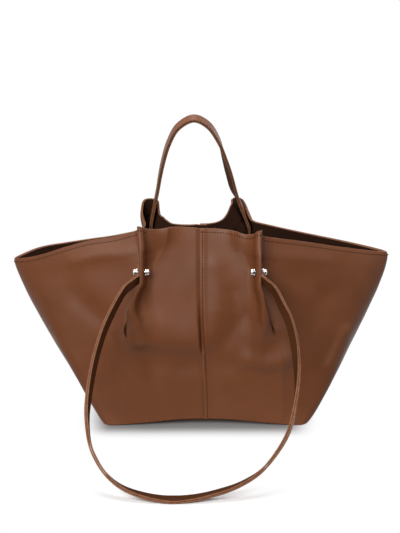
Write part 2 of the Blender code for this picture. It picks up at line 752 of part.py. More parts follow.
def build_strap(name, side, middle, plane_down, turns, leathers, pivot, cutters):
    full = strap_with_ends(middle, strap_middle_x(side))
    sections = strap_sections([p for p, _ in full], plane_down, *turns)
    layers = {"outer": (-STRAP_LAYER - CLEARANCE / 2, -CLEARANCE / 2),
              "lining": (CLEARANCE / 2, STRAP_LAYER + CLEARANCE / 2)}
    for (layer, levels), material in zip(layers.items(), leathers):
        grids = []
        for level in levels:
            grid = []
            for (point, across, normal), (_, width) in zip(sections, full):
                half = across * (STRAP_WIDTH / 2 * width)
                centre = pivot.location + point + normal * level
                grid.append((centre - half, centre + half))
            grids.append(grid)
        body = sheet_solid(f"{name}_{layer}", grids[0], grids[1], material, pivot)
        for cutter in cutters:
            cut_with(body, cutter)


def build_shoulder_strap(leathers, cutters):
    """The long strap is thrown forward and lies flat on the floor at its lowest stretch."""
    axis = post_axis(FRONT)
    middle = strap_middle(SHOULDER_LINE, strap_middle_x(FRONT))
    drop = max(down for _, down in middle)
    contact = ((STRAP_LAYER + CLEARANCE / 2) * math.cos(FLOOR_TILT)
               + STRAP_WIDTH / 2 * math.sin(FLOOR_TILT) + FLOOR_GAP)
    slope = math.asin((STUD_HEIGHT - contact) / drop)
    down_forward = Vector((0, -math.cos(slope), -math.sin(slope)))
    pivot = make_pivot("shoulder_strap_pivot", axis)
    turns = SHOULDER_TWIST, math.pi / 2 - slope + FLOOR_TILT
    build_strap("shoulder_strap", FRONT, middle, down_forward, turns, leathers, pivot, cutters)


def build_carry_handle(leathers, cutters):
    """The short handle stands up and leans over the mouth."""
    up = Vector((0, -math.sin(HANDLE_LEAN), math.cos(HANDLE_LEAN)))
    pivot = make_pivot("carry_handle_pivot", post_axis(BACK))
    build_strap("carry_handle", BACK, HANDLE_MIDDLE, up, (HANDLE_TWIST, None), leathers, pivot, cutters)


def make_pivot(name, place):
    pivot = bpy.data.objects.new(name, None)
    pivot.location = place
    pivot.empty_display_size = 0.02
    bpy.context.collection.objects.link(pivot)
    return pivot


def main():
    for old in list(bpy.data.objects):
        bpy.data.objects.remove(old, do_unlink=True)
    leather = make_material("brown_leather", (0.17, 0.065, 0.030), 0.45)
    inner_leather = make_material("dark_lining", (0.045, 0.020, 0.013), 0.7)
    board = make_material("stiffener_board", (0.05, 0.035, 0.025), 0.85)
    chrome = make_material("chrome", (0.78, 0.78, 0.80), 0.12, 1.0)

    build_base(leather, board)
    cutters = {}
    for side in (FRONT, BACK):
        for hand in ("left", "right"):
            cutter = hole_cutter(side, hand)
            cutters.setdefault(side["name"], []).append(cutter)
            build_panel(side, hand, leather, cutter)
            build_facing(side, hand, inner_leather)
            build_fastener(side, hand, chrome)

    build_shoulder_strap((leather, inner_leather), cutters["front"])
    build_carry_handle((leather, inner_leather), cutters["back"])
    print("front post axis", [round(v, 5) for v in post_axis(FRONT)])
    print("back post axis", [round(v, 5) for v in post_axis(BACK)])


main()
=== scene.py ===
"""Leather tote bag with flared sides and pinched pleats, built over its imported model."""

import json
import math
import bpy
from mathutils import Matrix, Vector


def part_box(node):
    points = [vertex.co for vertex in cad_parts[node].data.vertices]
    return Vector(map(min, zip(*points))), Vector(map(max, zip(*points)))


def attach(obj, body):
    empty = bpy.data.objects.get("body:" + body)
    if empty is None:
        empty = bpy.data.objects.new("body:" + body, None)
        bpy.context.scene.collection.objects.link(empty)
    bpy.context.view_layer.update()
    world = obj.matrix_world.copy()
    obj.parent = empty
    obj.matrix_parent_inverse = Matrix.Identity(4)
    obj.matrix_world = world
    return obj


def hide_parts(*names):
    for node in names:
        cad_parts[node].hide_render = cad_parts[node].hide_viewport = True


bl_info = {
    "name": "Winged Leather Tote Bag",
    "version": (1, 0, 0),
    "blender": (4, 5, 0),
    "location": "3D View > Sidebar > Tote Bag",
    "description": "Builds the leather, lining, stitching and screw posts of a winged tote bag",
    "category": "Add Mesh",
}

import bmesh
import bpy
import numpy as np
from bpy.props import FloatProperty, FloatVectorProperty, IntProperty, PointerProperty
from mathutils import Vector

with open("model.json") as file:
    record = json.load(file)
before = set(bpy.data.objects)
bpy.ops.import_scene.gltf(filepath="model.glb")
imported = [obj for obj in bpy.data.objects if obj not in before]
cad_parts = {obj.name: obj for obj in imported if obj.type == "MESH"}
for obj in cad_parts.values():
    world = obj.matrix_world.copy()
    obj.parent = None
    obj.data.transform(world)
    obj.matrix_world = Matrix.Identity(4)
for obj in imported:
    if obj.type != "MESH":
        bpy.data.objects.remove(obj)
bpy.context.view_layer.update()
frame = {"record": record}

# Pattern of the bag, close to that of the solids, in metres. Shares run up a wall from its foot.
BASE_HALF_WIDTH = 0.122
BASE_HALF_DEPTH = 0.0755
BASE_CORNER_RADIUS = 0.010
BASE_THICKNESS = 0.0018
BASE_SIDE_SWAY = 0.006
BASE_RIM = 0.020
BASE_SMALLEST_RADIUS = 0.002
BASE_ROUNDING = 0.0007
BASE_MARGINS = (BASE_RIM, 0.016, 0.012, 0.008, 0.0055, 0.0035)
BOARD_ROUNDING = 0.0004
BOARD_RING = 0.004
BASE_EDGE_LIFT = 0.0085
WALL_FOOT = 0.0006
PANEL_THICKNESS = 0.0017
FACING_THICKNESS = 0.0008
LAP_WIDTH = 0.009
CLEARANCE = 0.0003
SEAM_OVERLAP = 0.0002
FOLD_GAP = 0.0004
HANDLE_PLAY = 0.0006
HANDLE_MOUTH_PLAY = 0.0021
NECK_ROOM = 0.0135
CENTRE_NECK_ROOM = 0.001
WING_REACH = 0.225
WING_CROWDING = 0.88
WING_BULGE = {"left": 0.0122, "right": 0.020}
WING_BULGE_POWER = 0.55
WING_BULGE_SHARES = (0.8, 1.05)
BELLY = 0.009
FACING_START = 0.905
FACING_FROM = 0.12
FACING_ROUNDING = 0.0002
PLEAT_START = 0.33
PLEAT_SHUT_FROM = 0.72
PLEAT_ROOT_RADIUS = 0.004
FLARE = {"left": 0.0195, "right": 0.018}
FLARE_FROM = 0.735
FLARE_TO = {"left": 0.585, "right": 0.512}
TIP_BEND_FROM = 0.6
EAR_FROM = -0.35
EAR_RISE = 0.5
EAR_TO = 0.6
STRAP_WIDTH = 0.0115
STRAP_LAYER = 0.0018
STRAP_TAB = 0.0055
TAB_TIP_TURN = 0.12
STRAP_STEP = 0.0075
STRAP_ROUNDING = 0.0005
STRAP_SHARES = (-1.0, -0.96, -0.86, -0.6, -0.2, 0.2, 0.6, 0.86, 0.96, 1.0)
FLOOR_GAP = 0.0001
FLOOR_TILT = math.radians(6)
HANDLE_LEAN = math.radians(22.5)
HEAD_RADIUS = 0.0046
HEAD_HEIGHT = 0.0054
HEAD_SEAT = HEAD_RADIUS + 0.001
SHANK_RADIUS = {"post": 0.0023, "screw": 0.0012}
# Knob and flange of a screw head: distance from its outside end, and radius
HEAD_PROFILE = (
    (0.0, 0.0), (0.0, 0.0012), (0.0001, 0.0022), (0.0004, 0.0029), (0.0009, 0.0035),
    (0.0014, 0.0038), (0.0019, 0.0039), (0.0026, 0.0039), (0.0028, 0.00355), (0.0033, 0.0035),
    (0.0035, 0.0037), (0.0037, 0.0043), (0.0040, HEAD_RADIUS), (HEAD_HEIGHT - 0.0002, HEAD_RADIUS),
    (HEAD_HEIGHT, 0.0044),
)
HAND_SIGN = {"left": -1, "right": 1}

# Sewing: how far a row runs in columns u, how deep the holes sit, and the lengths of thread and
# hole as shares of their width
ROW_FROM = {"front_left": 1.35}
ROW_FROM_SEAM = 0.03
ROW_TO = 2.985
ROW_POINTS = 900
SEAM_ROW_FROM = 0.012
SEAM_ROW_POINTS = 200
CENTRE_HEIGHT = 0.23
HOLE_SUNK_SHARE = 0.45
THREAD_LENGTH = 2.0
HOLE_LENGTH = 1.0

# Meshes: where the rings of a half-round edge lie across it, and the least angle of a sharp edge
EDGE_SHARES = (0.12, 0.32, 0.68, 0.88)
SHARP_FROM = math.radians(32)
ROW_TOLERANCE = 1e-6
CORNER_POINTS = 13
LONG_EDGE_POINTS = 64
SHORT_EDGE_POINTS = 30

# Relief of the leather: slow undulation, where it and the creases fade out, and the step of the
# lap at the centre seam
UNDULATION = 0.0004
UNDULATION_SIZE = 0.062
CALM_EDGE = 0.02
CALM_SEAM = 0.004
CALM_PLEAT_FROM = 0.52
CALM_PLEAT_RISE = 0.14
LAP_RISE = 0.0006
LAP_EDGE = 0.010
LAP_SLOPE = 0.006
LAP_DROP = 0.0014
LAP_DROP_REACH = 0.0055

# Middle line of each strap: shares of the posts' half distance, and metres from their axis
SHOULDER_LINE = (
    (-1.025, 0.0095), (-1.12, 0.0165), (-1.25, 0.0265), (-1.41, 0.052), (-1.54, 0.0785),
    (-1.63, 0.106), (-1.69, 0.1335), (-1.728, 0.166), (-1.728, 0.188), (-1.68, 0.213),
    (-1.59, 0.231),
    (-1.42, 0.2505), (-1.18, 0.2655), (-0.88, 0.2747), (-0.50, 0.280), (-0.15, 0.279),
    (0.22, 0.2732), (0.59, 0.2636), (0.925, 0.2477), (1.20, 0.2228), (1.37, 0.199),
    (1.46, 0.173), (1.515, 0.147), (1.525, 0.120), (1.50, 0.092), (1.44, 0.067),
    (1.345, 0.048), (1.23, 0.0265), (1.11, 0.0165), (1.025, 0.0095),
)
HANDLE_LINE = (
    (-1.0, 0.020), (-0.985, 0.033), (-0.935, 0.050), (-0.845, 0.079), (-0.785, 0.102),
    (-0.710, 0.125), (-0.606, 0.148), (-0.430, 0.170), (-0.125, 0.182), (0.170, 0.172),
    (0.376, 0.149), (0.486, 0.125), (0.580, 0.102), (0.675, 0.079), (0.830, 0.055),
    (0.955, 0.034), (0.995, 0.025), (1.0, 0.018),
)
# Turn of each strap about its own line, in degrees, against the way along it from the left post
SHOULDER_TWIST = (
    (0.0, 0), (0.03, 0), (0.06, 7), (0.12, 16), (0.24, 15), (0.31, 2), (0.36, 0), (0.50, 5),
    (0.64, 0), (0.70, -4), (0.76, 4), (0.81, 24), (0.85, 33), (0.89, 30), (0.94, 12), (0.97, 0),
    (1.0, 0),
)
HANDLE_TWIST = (
    (0.0, 0), (0.17, 0), (0.30, 5), (0.50, 6), (0.60, 0), (0.66, -20), (0.72, -33), (0.77, -32),
    (0.835, -2), (0.86, 0), (1.0, 0),
)

FRONT = {
    "name": "front",
    "facing": -1,
    "edge": {
        "left": ((0, 0.046), (0.45, 0.0475), (0.93, 0.0483), (1.03, 0.0478), (1.14, 0.0464),
                 (1.3, 0.0478), (1.42, 0.0505), (1.5, 0.053), (1.75, 0.049), (2, 0.042),
                 (2.15, 0.035), (2.4, 0.027), (2.57, 0.0185), (2.82, 0.005), (3, -0.0015)),
        "right": ((0, 0.046), (0.5, 0.0455), (0.9, 0.0443), (1.04, 0.0435), (1.12, 0.041),
                  (1.2, 0.04), (1.32, 0.0415), (1.5, 0.0475), (1.75, 0.045), (2, 0.036),
                  (2.32, 0.027), (2.63, 0.0175), (3, 0.007)),
    },
    "centre_depth": 0.045,
    "root_depth": 0.047,
    "centre_root_radius": 0.01,
    "centre_mouth_radius": {"left": 0.0195, "right": 0.017},
    "centre_steepness": 5.0,
    "tip_bend": {"left": 0.0024, "right": 0.0038},
    "pleat_x": 0.066,
    "pleat_depth": 0.024,
    "fold_radius_shut": PANEL_THICKNESS + FOLD_GAP,
    "fold_radius_mouth": PANEL_THICKNESS + CLEARANCE + FACING_THICKNESS + FOLD_GAP,
    "mouth_shut": 0.84,
    "centre_mouth_shut": 0.52,
    "wing_mouth_shut": {"left": 0.84, "right": 0.84},
    "ear_lean": {"left": 0.0, "right": 0.0},
    "mouth_lean": {"left": math.radians(11.5), "right": math.radians(8)},
    "wing_handle": (0.13, 0.032),
    "wing_end_opening": {"left": 0.018, "right": 0.012},
    "strap_joint": "shoulder_strap_swing",
}
BACK = {
    "name": "back",
    "facing": 1,
    "edge": {
        "left": ((0, 0.035), (0.3, 0.0338), (0.72, 0.033), (0.91, 0.0364), (1.05, 0.0415),
                 (1.2, 0.048), (1.32, 0.055), (1.42, 0.0586), (1.5, 0.0592), (1.58, 0.058),
                 (1.68, 0.0533), (1.82, 0.0445),
                 (2, 0.0262), (2.18, 0.02), (2.42, 0.0158), (2.59, 0.0128), (2.83, 0.0075),
                 (3, -0.0015)),
        "right": ((0, 0.035), (0.35, 0.0355), (0.56, 0.0362), (0.68, 0.0375), (0.8, 0.04),
                  (0.88, 0.0435), (0.95, 0.048), (1.02, 0.054), (1.1, 0.0585), (1.2, 0.06),
                  (1.5, 0.06), (1.6, 0.0585), (1.7, 0.0535), (1.82, 0.045), (1.92, 0.0385),
                  (2, 0.0345), (2.1, 0.0315), (2.37, 0.024),
                  (2.68, 0.016), (3, 0.007)),
    },
    "centre_depth": 0.026,
    "root_depth": 0.042,
    "centre_root_radius": PLEAT_ROOT_RADIUS,
    "centre_mouth_radius": {"left": PLEAT_ROOT_RADIUS, "right": PLEAT_ROOT_RADIUS},
    "centre_steepness": 2.0,
    "tip_bend": {"left": 0.0, "right": 0.0},
    "pleat_x": 0.062,
    "pleat_depth": 0.027,
    "fold_radius_shut": PANEL_THICKNESS + HANDLE_PLAY + STRAP_LAYER + CLEARANCE / 2,
    "fold_radius_mouth": (PANEL_THICKNESS + CLEARANCE + FACING_THICKNESS + HANDLE_MOUTH_PLAY
                          + STRAP_LAYER + CLEARANCE / 2),
    "mouth_shut": 0.82,
    "centre_mouth_shut": 0.82,
    "wing_mouth_shut": {"left": 1.0, "right": 1.0},
    "ear_lean": {"left": 0.0066, "right": -0.0018},
    "mouth_lean": {"left": math.radians(9), "right": math.radians(3)},
    "wing_handle": (0.135, 0.024),
    "wing_end_opening": {"left": 0.02, "right": 0.012},
    "strap_joint": "carry_handle_swing",
}
SIDES = (FRONT, BACK)
HANDS = ("left", "right")
POST_AXIS = {joint["name"]: Vector(joint["pos_m"])
             for joint in frame["record"]["behaviour"]["joints"]}
STUD_HEIGHT = POST_AXIS["carry_handle_swing"].z

# Soft creases, seen from the front: points (x, z), height, and how far it reaches to the left and
# to the right of the path, all in metres. A positive height stands out of the leather.
FRONT_CREASES = (
    (((-0.072, 0.1125), (-0.042, 0.106), (-0.002, 0.1035)), 0.0052, 0.04, 0.0135),
    (((-0.05, 0.08), (0.004, 0.079)), -0.0022, 0.018, 0.018),
    (((-0.0735, 0.16), (-0.08, 0.149), (-0.0862, 0.138), (-0.088, 0.126), (-0.085, 0.113),
      (-0.076, 0.1035)), 0.0034, 0.01, 0.011),
    (((-0.101, 0.115), (-0.107, 0.09), (-0.11, 0.06)), 0.003, 0.008, 0.012),
    (((0.07, 0.16), (0.0765, 0.147), (0.085, 0.132), (0.0895, 0.12)), 0.003, 0.007, 0.012),
    (((0.06, 0.081), (0.078, 0.0775), (0.098, 0.08)), 0.0046, 0.015, 0.0095),
    (((0.04, 0.162), (0.0511, 0.1377), (0.0276, 0.1064)), -0.0018, 0.011, 0.011),
    (((0.018, 0.19), (0.022, 0.145)), 0.0016, 0.013, 0.013),
    (((0.022, 0.09), (0.03, 0.078)), -0.0014, 0.013, 0.013),
    (((0.176, 0.108), (0.156, 0.0704)), 0.0022, 0.007, 0.007),
    (((-0.15, 0.196), (-0.11, 0.206), (-0.085, 0.206)), 0.0022, 0.012, 0.012),
    (((-0.145, 0.15), (-0.1, 0.115)), -0.0018, 0.014, 0.014),
    (((0.095, 0.203), (0.145, 0.195)), 0.0018, 0.014, 0.014),
    (((0.15, 0.15), (0.13, 0.12)), -0.0016, 0.016, 0.016),
)
BACK_CREASES = (
    (((-0.055, 0.116), (-0.02, 0.11), (0.04, 0.115)), 0.003, 0.03, 0.013),
    (((-0.05, 0.085), (0.01, 0.078), (0.045, 0.083)), -0.0018, 0.015, 0.015),
    (((-0.09, 0.15), (-0.086, 0.115)), -0.002, 0.006, 0.006),
    (((0.088, 0.15), (0.085, 0.118)), -0.002, 0.006, 0.006),
    (((0.104, 0.105), (0.108, 0.065)), 0.002, 0.011, 0.008),
    (((-0.103, 0.1), (-0.108, 0.06)), 0.0018, 0.008, 0.011),
)

# Camera and stage
PHOTO_HEIGHT_PX = 533
SENSOR = 36.0
CAMERA_FOCAL_PX = 1230
CAMERA_DISTANCE = 1.5
CAMERA_ELEVATION = math.radians(15)
CAMERA_TARGET = Vector((0.0, 0.0, 0.1772))
FLOOR_COLOUR = 0.8
FLOOR_SEEN = 0.98
# Seen colour of the floor at the bag's foot, darkened there to a painted shadow
FLOOR_PAINTED_SHADOW_AT_FOOT = 0.30
# Where the floor keeps its shading: centre, half size and fade of a box in metres. The first is
# the foot of the bag, where the floor's colour also darkens to a painted shadow.
FLOOR_ZONES = (((-0.003, 0.0), (0.103, 0.078), 0.046), ((0.0, -0.297), (0.105, 0.020), 0.040))
WORLD_LIGHT = 0.16
# Name, place, size and power of each lamp
LAMPS = (
    ("left softbox", (-0.5, -1.45, 1.0), 1.0, 32.5), ("right fill", (1.5, -1.1, 0.7), 1.2, 5.5),
    ("top", (-0.1, 0.2, 1.5), 0.8, 9.5), ("back fill", (0.5, 1.7, 0.9), 1.2, 12.0),
)
LAMP_AIM = Vector((0, 0, 0.12))
FLOOR_REACH = 20.0
# Dark card that the chrome reflects: its bent section as (y, z), and its half width
CARD_PROFILE = ((-0.25, 0.001), (-0.62, 0.001), (-0.62, 0.42))
CARD_HALF_WIDTH = 1.2


def mix(low, high, share):
    """Value at a share of the way from low to high."""
    return low + (high - low) * share


def ease(share):
    """Share that starts and ends softly."""
    share = np.clip(share, 0.0, 1.0)
    return share * share * (3 - 2 * share)


def smooth_value(points, where):
    """Value of a smooth curve through (place, value) points."""
    places, values = np.array(points, dtype=float).T
    slopes = np.gradient(values, places)
    flat = np.diff(values)
    turning = np.sign(flat[1:]) != np.sign(flat[:-1])
    slopes[1:-1][turning] = 0
    index = np.clip(np.searchsorted(places, where, side="right") - 1, 0, len(places) - 2)
    span = places[index + 1] - places[index]
    s = np.clip((where - places[index]) / span, 0, 1)
    return ((1 + 2 * s) * (1 - s) ** 2 * values[index] + s * (1 - s) ** 2 * span * slopes[index]
            + s * s * (3 - 2 * s) * values[index + 1] + s * s * (s - 1) * span * slopes[index + 1])


# Straps' middle lines


def smooth_line(points, step):
    """Evenly spaced points on a smooth curve through the given ones."""
    points = np.array(points, dtype=float)
    padded = np.vstack([2 * points[0] - points[1], points, 2 * points[-1] - points[-2]])
    shares = np.arange(16)[:, None] / 16
    dense = []
    for a, b, c, d in zip(padded, padded[1:], padded[2:], padded[3:]):
        dense.append(0.5 * (2 * b + (c - a) * shares + (2 * a - 5 * b + 4 * c - d) * shares ** 2
                            + (3 * b - a - 3 * c + d) * shares ** 3))
    dense = np.vstack(dense + [points[-1:]])
    travelled = np.concatenate([[0], np.cumsum(np.linalg.norm(np.diff(dense, axis=0), axis=1))])
    targets = np.linspace(0, travelled[-1], max(2, round(travelled[-1] / step)) + 1)
    return np.stack([np.interp(targets, travelled, dense[:, k]) for k in range(2)], axis=1)


def strap_middle(points, end_x, step):
    """Even points of a strap's middle line in its own plane, from post to post."""
    through = [(share * end_x, distance) for share, distance in points]
    return smooth_line([(-end_x, HEAD_SEAT)] + through + [(end_x, HEAD_SEAT)], step)


HANDLE_MIDDLE = strap_middle(HANDLE_LINE, BACK["pleat_x"], STRAP_STEP)


def handle_leg_x(hand, up):
    """Distance of a handle leg from the middle, at these lengths up from the posts' axis."""
    top = int(np.argmax(HANDLE_MIDDLE[:, 1]))
    leg = HANDLE_MIDDLE[:top + 1] if hand == "left" else HANDLE_MIDDLE[top:][::-1]
    return np.interp(up, leg[:, 1], np.abs(leg[:, 0]))


# Shape of the leather walls: u runs 0 to 1 over the centre, 1 to 2 round the pleat and 2 to 3
# along the wing, and t runs from the base to the top edge.


def pleat_half_length(side, root_radius):
    """Length of leather from the tip of the fold to the end of its root."""
    straight = side["pleat_depth"] - side["fold_radius_shut"] - root_radius
    return straight + (side["fold_radius_shut"] + root_radius) * math.pi / 2


def fold_rise(side):
    """Least rise of the fold, which sets how far up the pleats are held shut."""
    return min(smooth_value(edge, 1.5) for edge in side["edge"].values())


def shut_to(side):
    """Height share up to which the pleats are held shut."""
    return (STUD_HEIGHT + HEAD_RADIUS + NECK_ROOM) / (STUD_HEIGHT + fold_rise(side))


def mouth_share(side, t):
    """How far up the pleat's open mouth, 0 to 1."""
    return np.maximum(t - shut_to(side), 0.0) / (1 - shut_to(side))


def mouth_opening(side, s, t):
    """How far a pleat has opened; a front one opens from the heads up on the centre's side."""
    opening = ease(mouth_share(side, t))
    if side["name"] == "back":
        return opening
    start = (STUD_HEIGHT + HEAD_RADIUS + CENTRE_NECK_ROOM) / (STUD_HEIGHT + fold_rise(side))
    early = np.maximum(t - start, 0.0) / (1 - start)
    return mix(opening, early * (2 - early), np.clip(-s, 0, 1))


def shut_share(side, hand, s, t):
    """How far a pleat is closed: 0 in the plain wall and 1 at the post."""
    closing = ease((t - PLEAT_START) / (PLEAT_SHUT_FROM - PLEAT_START))
    end = np.where(s < 0, side["centre_mouth_shut"], side["wing_mouth_shut"][hand])
    at_mouth = mix(side["mouth_shut"], end, np.abs(s))
    return closing - (1 - at_mouth) * mouth_opening(side, s, t)


def fold_radius(side, t):
    """Radius of the fold's tip, wider at the mouth, where a facing lies in it."""
    rise = ease((t - shut_to(side)) / (FACING_START - shut_to(side)))
    return mix(side["fold_radius_shut"], side["fold_radius_mouth"], rise)


def belly(t):
    """How far the wall bulges between the base and the mouth."""
    return BELLY * 4 * t * (1 - t)


def sway(t):
    """Shift of the base to one side, which fades out up the wall."""
    return BASE_SIDE_SWAY * (1 - ease(t / PLEAT_SHUT_FROM))


def flare(side, hand, s, t):
    """Sideways lean of a front pleat below the post."""
    if side["name"] == "back":
        return 0.0
    opening = np.clip((FLARE_FROM - t) / (FLARE_FROM - FLARE_TO[hand]), 0, 1)
    return FLARE[hand] * opening * shut_share(side, hand, s, t) * (1 - s * s)


def edge_rise(side, hand, u):
    """Rise of the top edge above the posts' axis."""
    return smooth_value(side["edge"][hand], u)


def pleat_x(side, hand, s, t):
    """Distance of a pleat from the middle; the back ones follow the handle's legs."""
    if side["name"] == "front":
        return side["pleat_x"]
    height = t * (STUD_HEIGHT + edge_rise(side, hand, (s + 3) / 2))
    return handle_leg_x(hand, (height - STUD_HEIGHT) / math.cos(HANDLE_LEAN))


def pleat_plan(side, hand, s, t):
    """Plan of a pleat, with s from -1 on the centre's side to 1 on the wing's."""
    radius = fold_radius(side, t)
    depth = side["pleat_depth"]
    opening = ease(mouth_share(side, t))
    centre_radius = mix(side["centre_root_radius"], side["centre_mouth_radius"][hand],
                        mouth_opening(side, -1, t))
    root_radius = np.where(s < 0, centre_radius, PLEAT_ROOT_RADIUS)
    half = pleat_half_length(side, root_radius)
    travel = np.abs(s) * half
    straight = depth - radius - root_radius
    tip = radius * math.pi / 2
    round_fold = np.minimum(travel, tip) / radius
    run = np.clip(travel - tip, 0, straight)
    turn = np.clip((travel - tip - straight) / (half - tip - straight), 0, 1) * math.pi / 2
    across = radius * np.sin(round_fold) + root_radius * (1 - np.cos(turn))
    out = depth - radius + radius * np.cos(round_fold) - run - root_radius * np.sin(turn)
    shut = shut_share(side, hand, s, t)
    across = mix(travel, across, shut) * np.where(s >= 0, 1, -1) + flare(side, hand, s, t)
    out = out * shut
    lean = side["mouth_lean"][hand] * opening
    root = mix(BASE_HALF_DEPTH, side["root_depth"], t) + belly(t)
    on_ear = ease((s - EAR_FROM) / EAR_RISE) * (1 - ease((s - EAR_TO) / (1 - EAR_TO)))
    at_tip = np.maximum(out / depth - TIP_BEND_FROM, 0) / (1 - TIP_BEND_FROM)
    across = (across + side["ear_lean"][hand] * on_ear * opening
              + side["tip_bend"][hand] * at_tip ** 2 * (1 - opening) * shut)
    return (pleat_x(side, hand, s, t) + across * np.cos(lean) + out * np.sin(lean),
            root - across * np.sin(lean) + out * np.cos(lean))


def centre_plan(side, hand, share, t):
    """Plan from the centre seam to the pleat's root."""
    x, y = pleat_plan(side, hand, -1, t)
    seam_depth = mix(BASE_HALF_DEPTH, side["centre_depth"], t) + belly(t)
    up = ease((t - PLEAT_SHUT_FROM) / (1 - PLEAT_SHUT_FROM))
    steepness = mix(2, side["centre_steepness"], up)
    return x * share, mix(seam_depth, y, np.abs(share) ** steepness)


def base_wing_plan(side, w):
    """Plan of a wing's foot: along the base, round its corner and to mid side."""
    start = side["pleat_x"] + pleat_half_length(side, PLEAT_ROOT_RADIUS)
    front_run = BASE_HALF_WIDTH - BASE_CORNER_RADIUS - start
    corner = BASE_CORNER_RADIUS * math.pi / 2
    side_run = BASE_HALF_DEPTH - BASE_CORNER_RADIUS + SEAM_OVERLAP
    travel = mix(w, w ** 4, WING_CROWDING) * (front_run + corner + side_run)
    turn = np.clip(travel - front_run, 0, corner) / BASE_CORNER_RADIUS
    x = start + np.minimum(travel, front_run) + BASE_CORNER_RADIUS * np.sin(turn)
    y = BASE_HALF_DEPTH - BASE_CORNER_RADIUS * (1 - np.cos(turn))
    return x, y - np.maximum(travel - front_run - corner, 0)


def wing_plan(side, hand, w, t):
    """Plan of a wing, from its foot to the flared mouth, with w 1 at the side seam."""
    base = base_wing_plan(side, w)
    root = pleat_plan(side, hand, 1, 1)
    handle = side["wing_handle"]
    tip = (WING_REACH, -SEAM_OVERLAP)
    end = (WING_REACH, side["wing_end_opening"][hand])
    weights = (1 - w) ** 3, 3 * w * (1 - w) ** 2, 3 * w * w * (1 - w), w ** 3
    mouth = [sum(weight * point[k] for weight, point in zip(weights, (root, handle, end, tip)))
             for k in range(2)]
    start = base_wing_plan(side, 0.0)
    true_root = pleat_plan(side, hand, 1, t)
    fade = (1 - w) ** 2
    x, y = [mix(base[k], mouth[k], t) + (true_root[k] - mix(start[k], root[k], t)) * fade
            for k in range(2)]
    bow = np.maximum(4 * t * (1 - t), 0) ** WING_BULGE_POWER * mix(*WING_BULGE_SHARES, t)
    return x + WING_BULGE[hand] * bow * ease(w), y


def plan(side, hand, u, t):
    """Plan of a half wall, as distances to the side and outwards."""
    centre = centre_plan(side, hand, np.minimum(u, 1), t)
    pleat = pleat_plan(side, hand, np.clip(2 * u - 3, -1, 1), t)
    wing = wing_plan(side, hand, np.clip(u - 2, 0, 1), t)
    return tuple(np.where(u <= 1, centre[k], np.where(u <= 2, pleat[k], wing[k])) for k in range(2))


def top_height(side, hand, u):
    """Height of the top edge."""
    root_x = plan(side, hand, 2.0, 1.0)[0]
    run = np.clip((plan(side, hand, u, 1.0)[0] - root_x) / (WING_REACH - root_x), 0, 1)
    return STUD_HEIGHT + edge_rise(side, hand, np.where(u > 2, 2 + run, u))


def rim_lift(x, depth):
    """Rise of the base's rolled long edges."""
    across = np.cos(np.minimum(np.abs(x) / BASE_HALF_WIDTH, 1.0) * math.pi / 2) ** 2
    return BASE_EDGE_LIFT * across * ease((depth - BASE_HALF_DEPTH + BASE_RIM) / BASE_RIM)


def wall_surface(side, hand, u, t):
    """Points of the outer face for columns u and height shares t, as an array of rows."""
    u, t = np.broadcast_arrays(np.asarray(u, float), np.asarray(t, float))
    x, y = plan(side, hand, u, t)
    foot_x, foot_y = plan(side, hand, u, np.zeros_like(t))
    bottom = WALL_FOOT + rim_lift(foot_x, foot_y)
    z = mix(bottom, top_height(side, hand, u), t)
    return np.stack([HAND_SIGN[hand] * x + sway(t), side["facing"] * y, z], axis=-1)


def surface_normals(side, hand, grid):
    """Unit normals of a grid of points, pointing out of the bag."""
    normals = np.cross(np.gradient(grid, axis=1), np.gradient(grid, axis=0))
    normals /= np.linalg.norm(normals, axis=-1, keepdims=True)
    return normals * (HAND_SIGN[hand] * -side["facing"])


class Wall:
    """One half of the front or back: its grid of columns and rows, and its creased outer face."""

    def __init__(self, side, hand):
        self.side = side
        self.hand = hand
        self.u = wall_columns(side, hand)
        self.t = wall_rows(side)
        grid = wall_surface(side, hand, self.u[None, :], self.t[:, None])
        normals = surface_normals(side, hand, grid)
        self.outer = grid + normals * leather_relief(side, hand, self.u, self.t, grid)[..., None]
        self.normals = surface_normals(side, hand, self.outer)

    def face(self, inset):
        """Grid of points at this depth below the outer face."""
        return self.outer - self.normals * inset

    def follow(self, u, t, inset=0.0):
        """Points of the outer face along a path of (u, t)."""
        face = self.face(inset)
        column = np.interp(u, self.u, np.arange(len(self.u)))
        row = np.interp(t, self.t, np.arange(len(self.t)))
        c = np.minimum(column.astype(int), len(self.u) - 2)
        r = np.minimum(row.astype(int), len(self.t) - 2)
        fc = (column - c)[:, None]
        fr = (row - r)[:, None]
        low = mix(face[r, c], face[r, c + 1], fc)
        high = mix(face[r + 1, c], face[r + 1, c + 1], fc)
        return mix(low, high, fr)

    def path_at_depth(self, u, depth):
        """Height shares that keep a distance below the top edge."""
        return 1 - depth / top_height(self.side, self.hand, u)


def wall_columns(side, hand):
    """Columns of a wall, close together at the centre seam and round the fold."""
    seam_x = float(plan(side, hand, 1.0, 0.6)[0])
    near_seam = np.linspace(0.0, 0.007, 10) / seam_x
    centre = np.concatenate([near_seam, np.linspace(0.008 / seam_x, 1.0, 38)])
    if hand == "left":
        centre = np.concatenate([np.linspace(-LAP_WIDTH, -0.0007, 10) / seam_x, centre])
    fold = np.concatenate([np.linspace(0, 0.2, 15), np.linspace(0.2, 0.72, 12)[1:],
                           np.linspace(0.72, 1.0, 12)[1:]])
    pleat = (np.concatenate([-fold[::-1], fold[1:]]) + 3) / 2
    wing = 2 + np.concatenate([np.linspace(0, 0.5, 36)[1:], np.linspace(0.5, 1.0, 44)[1:]])
    return np.concatenate([centre[:-1], pleat, wing])


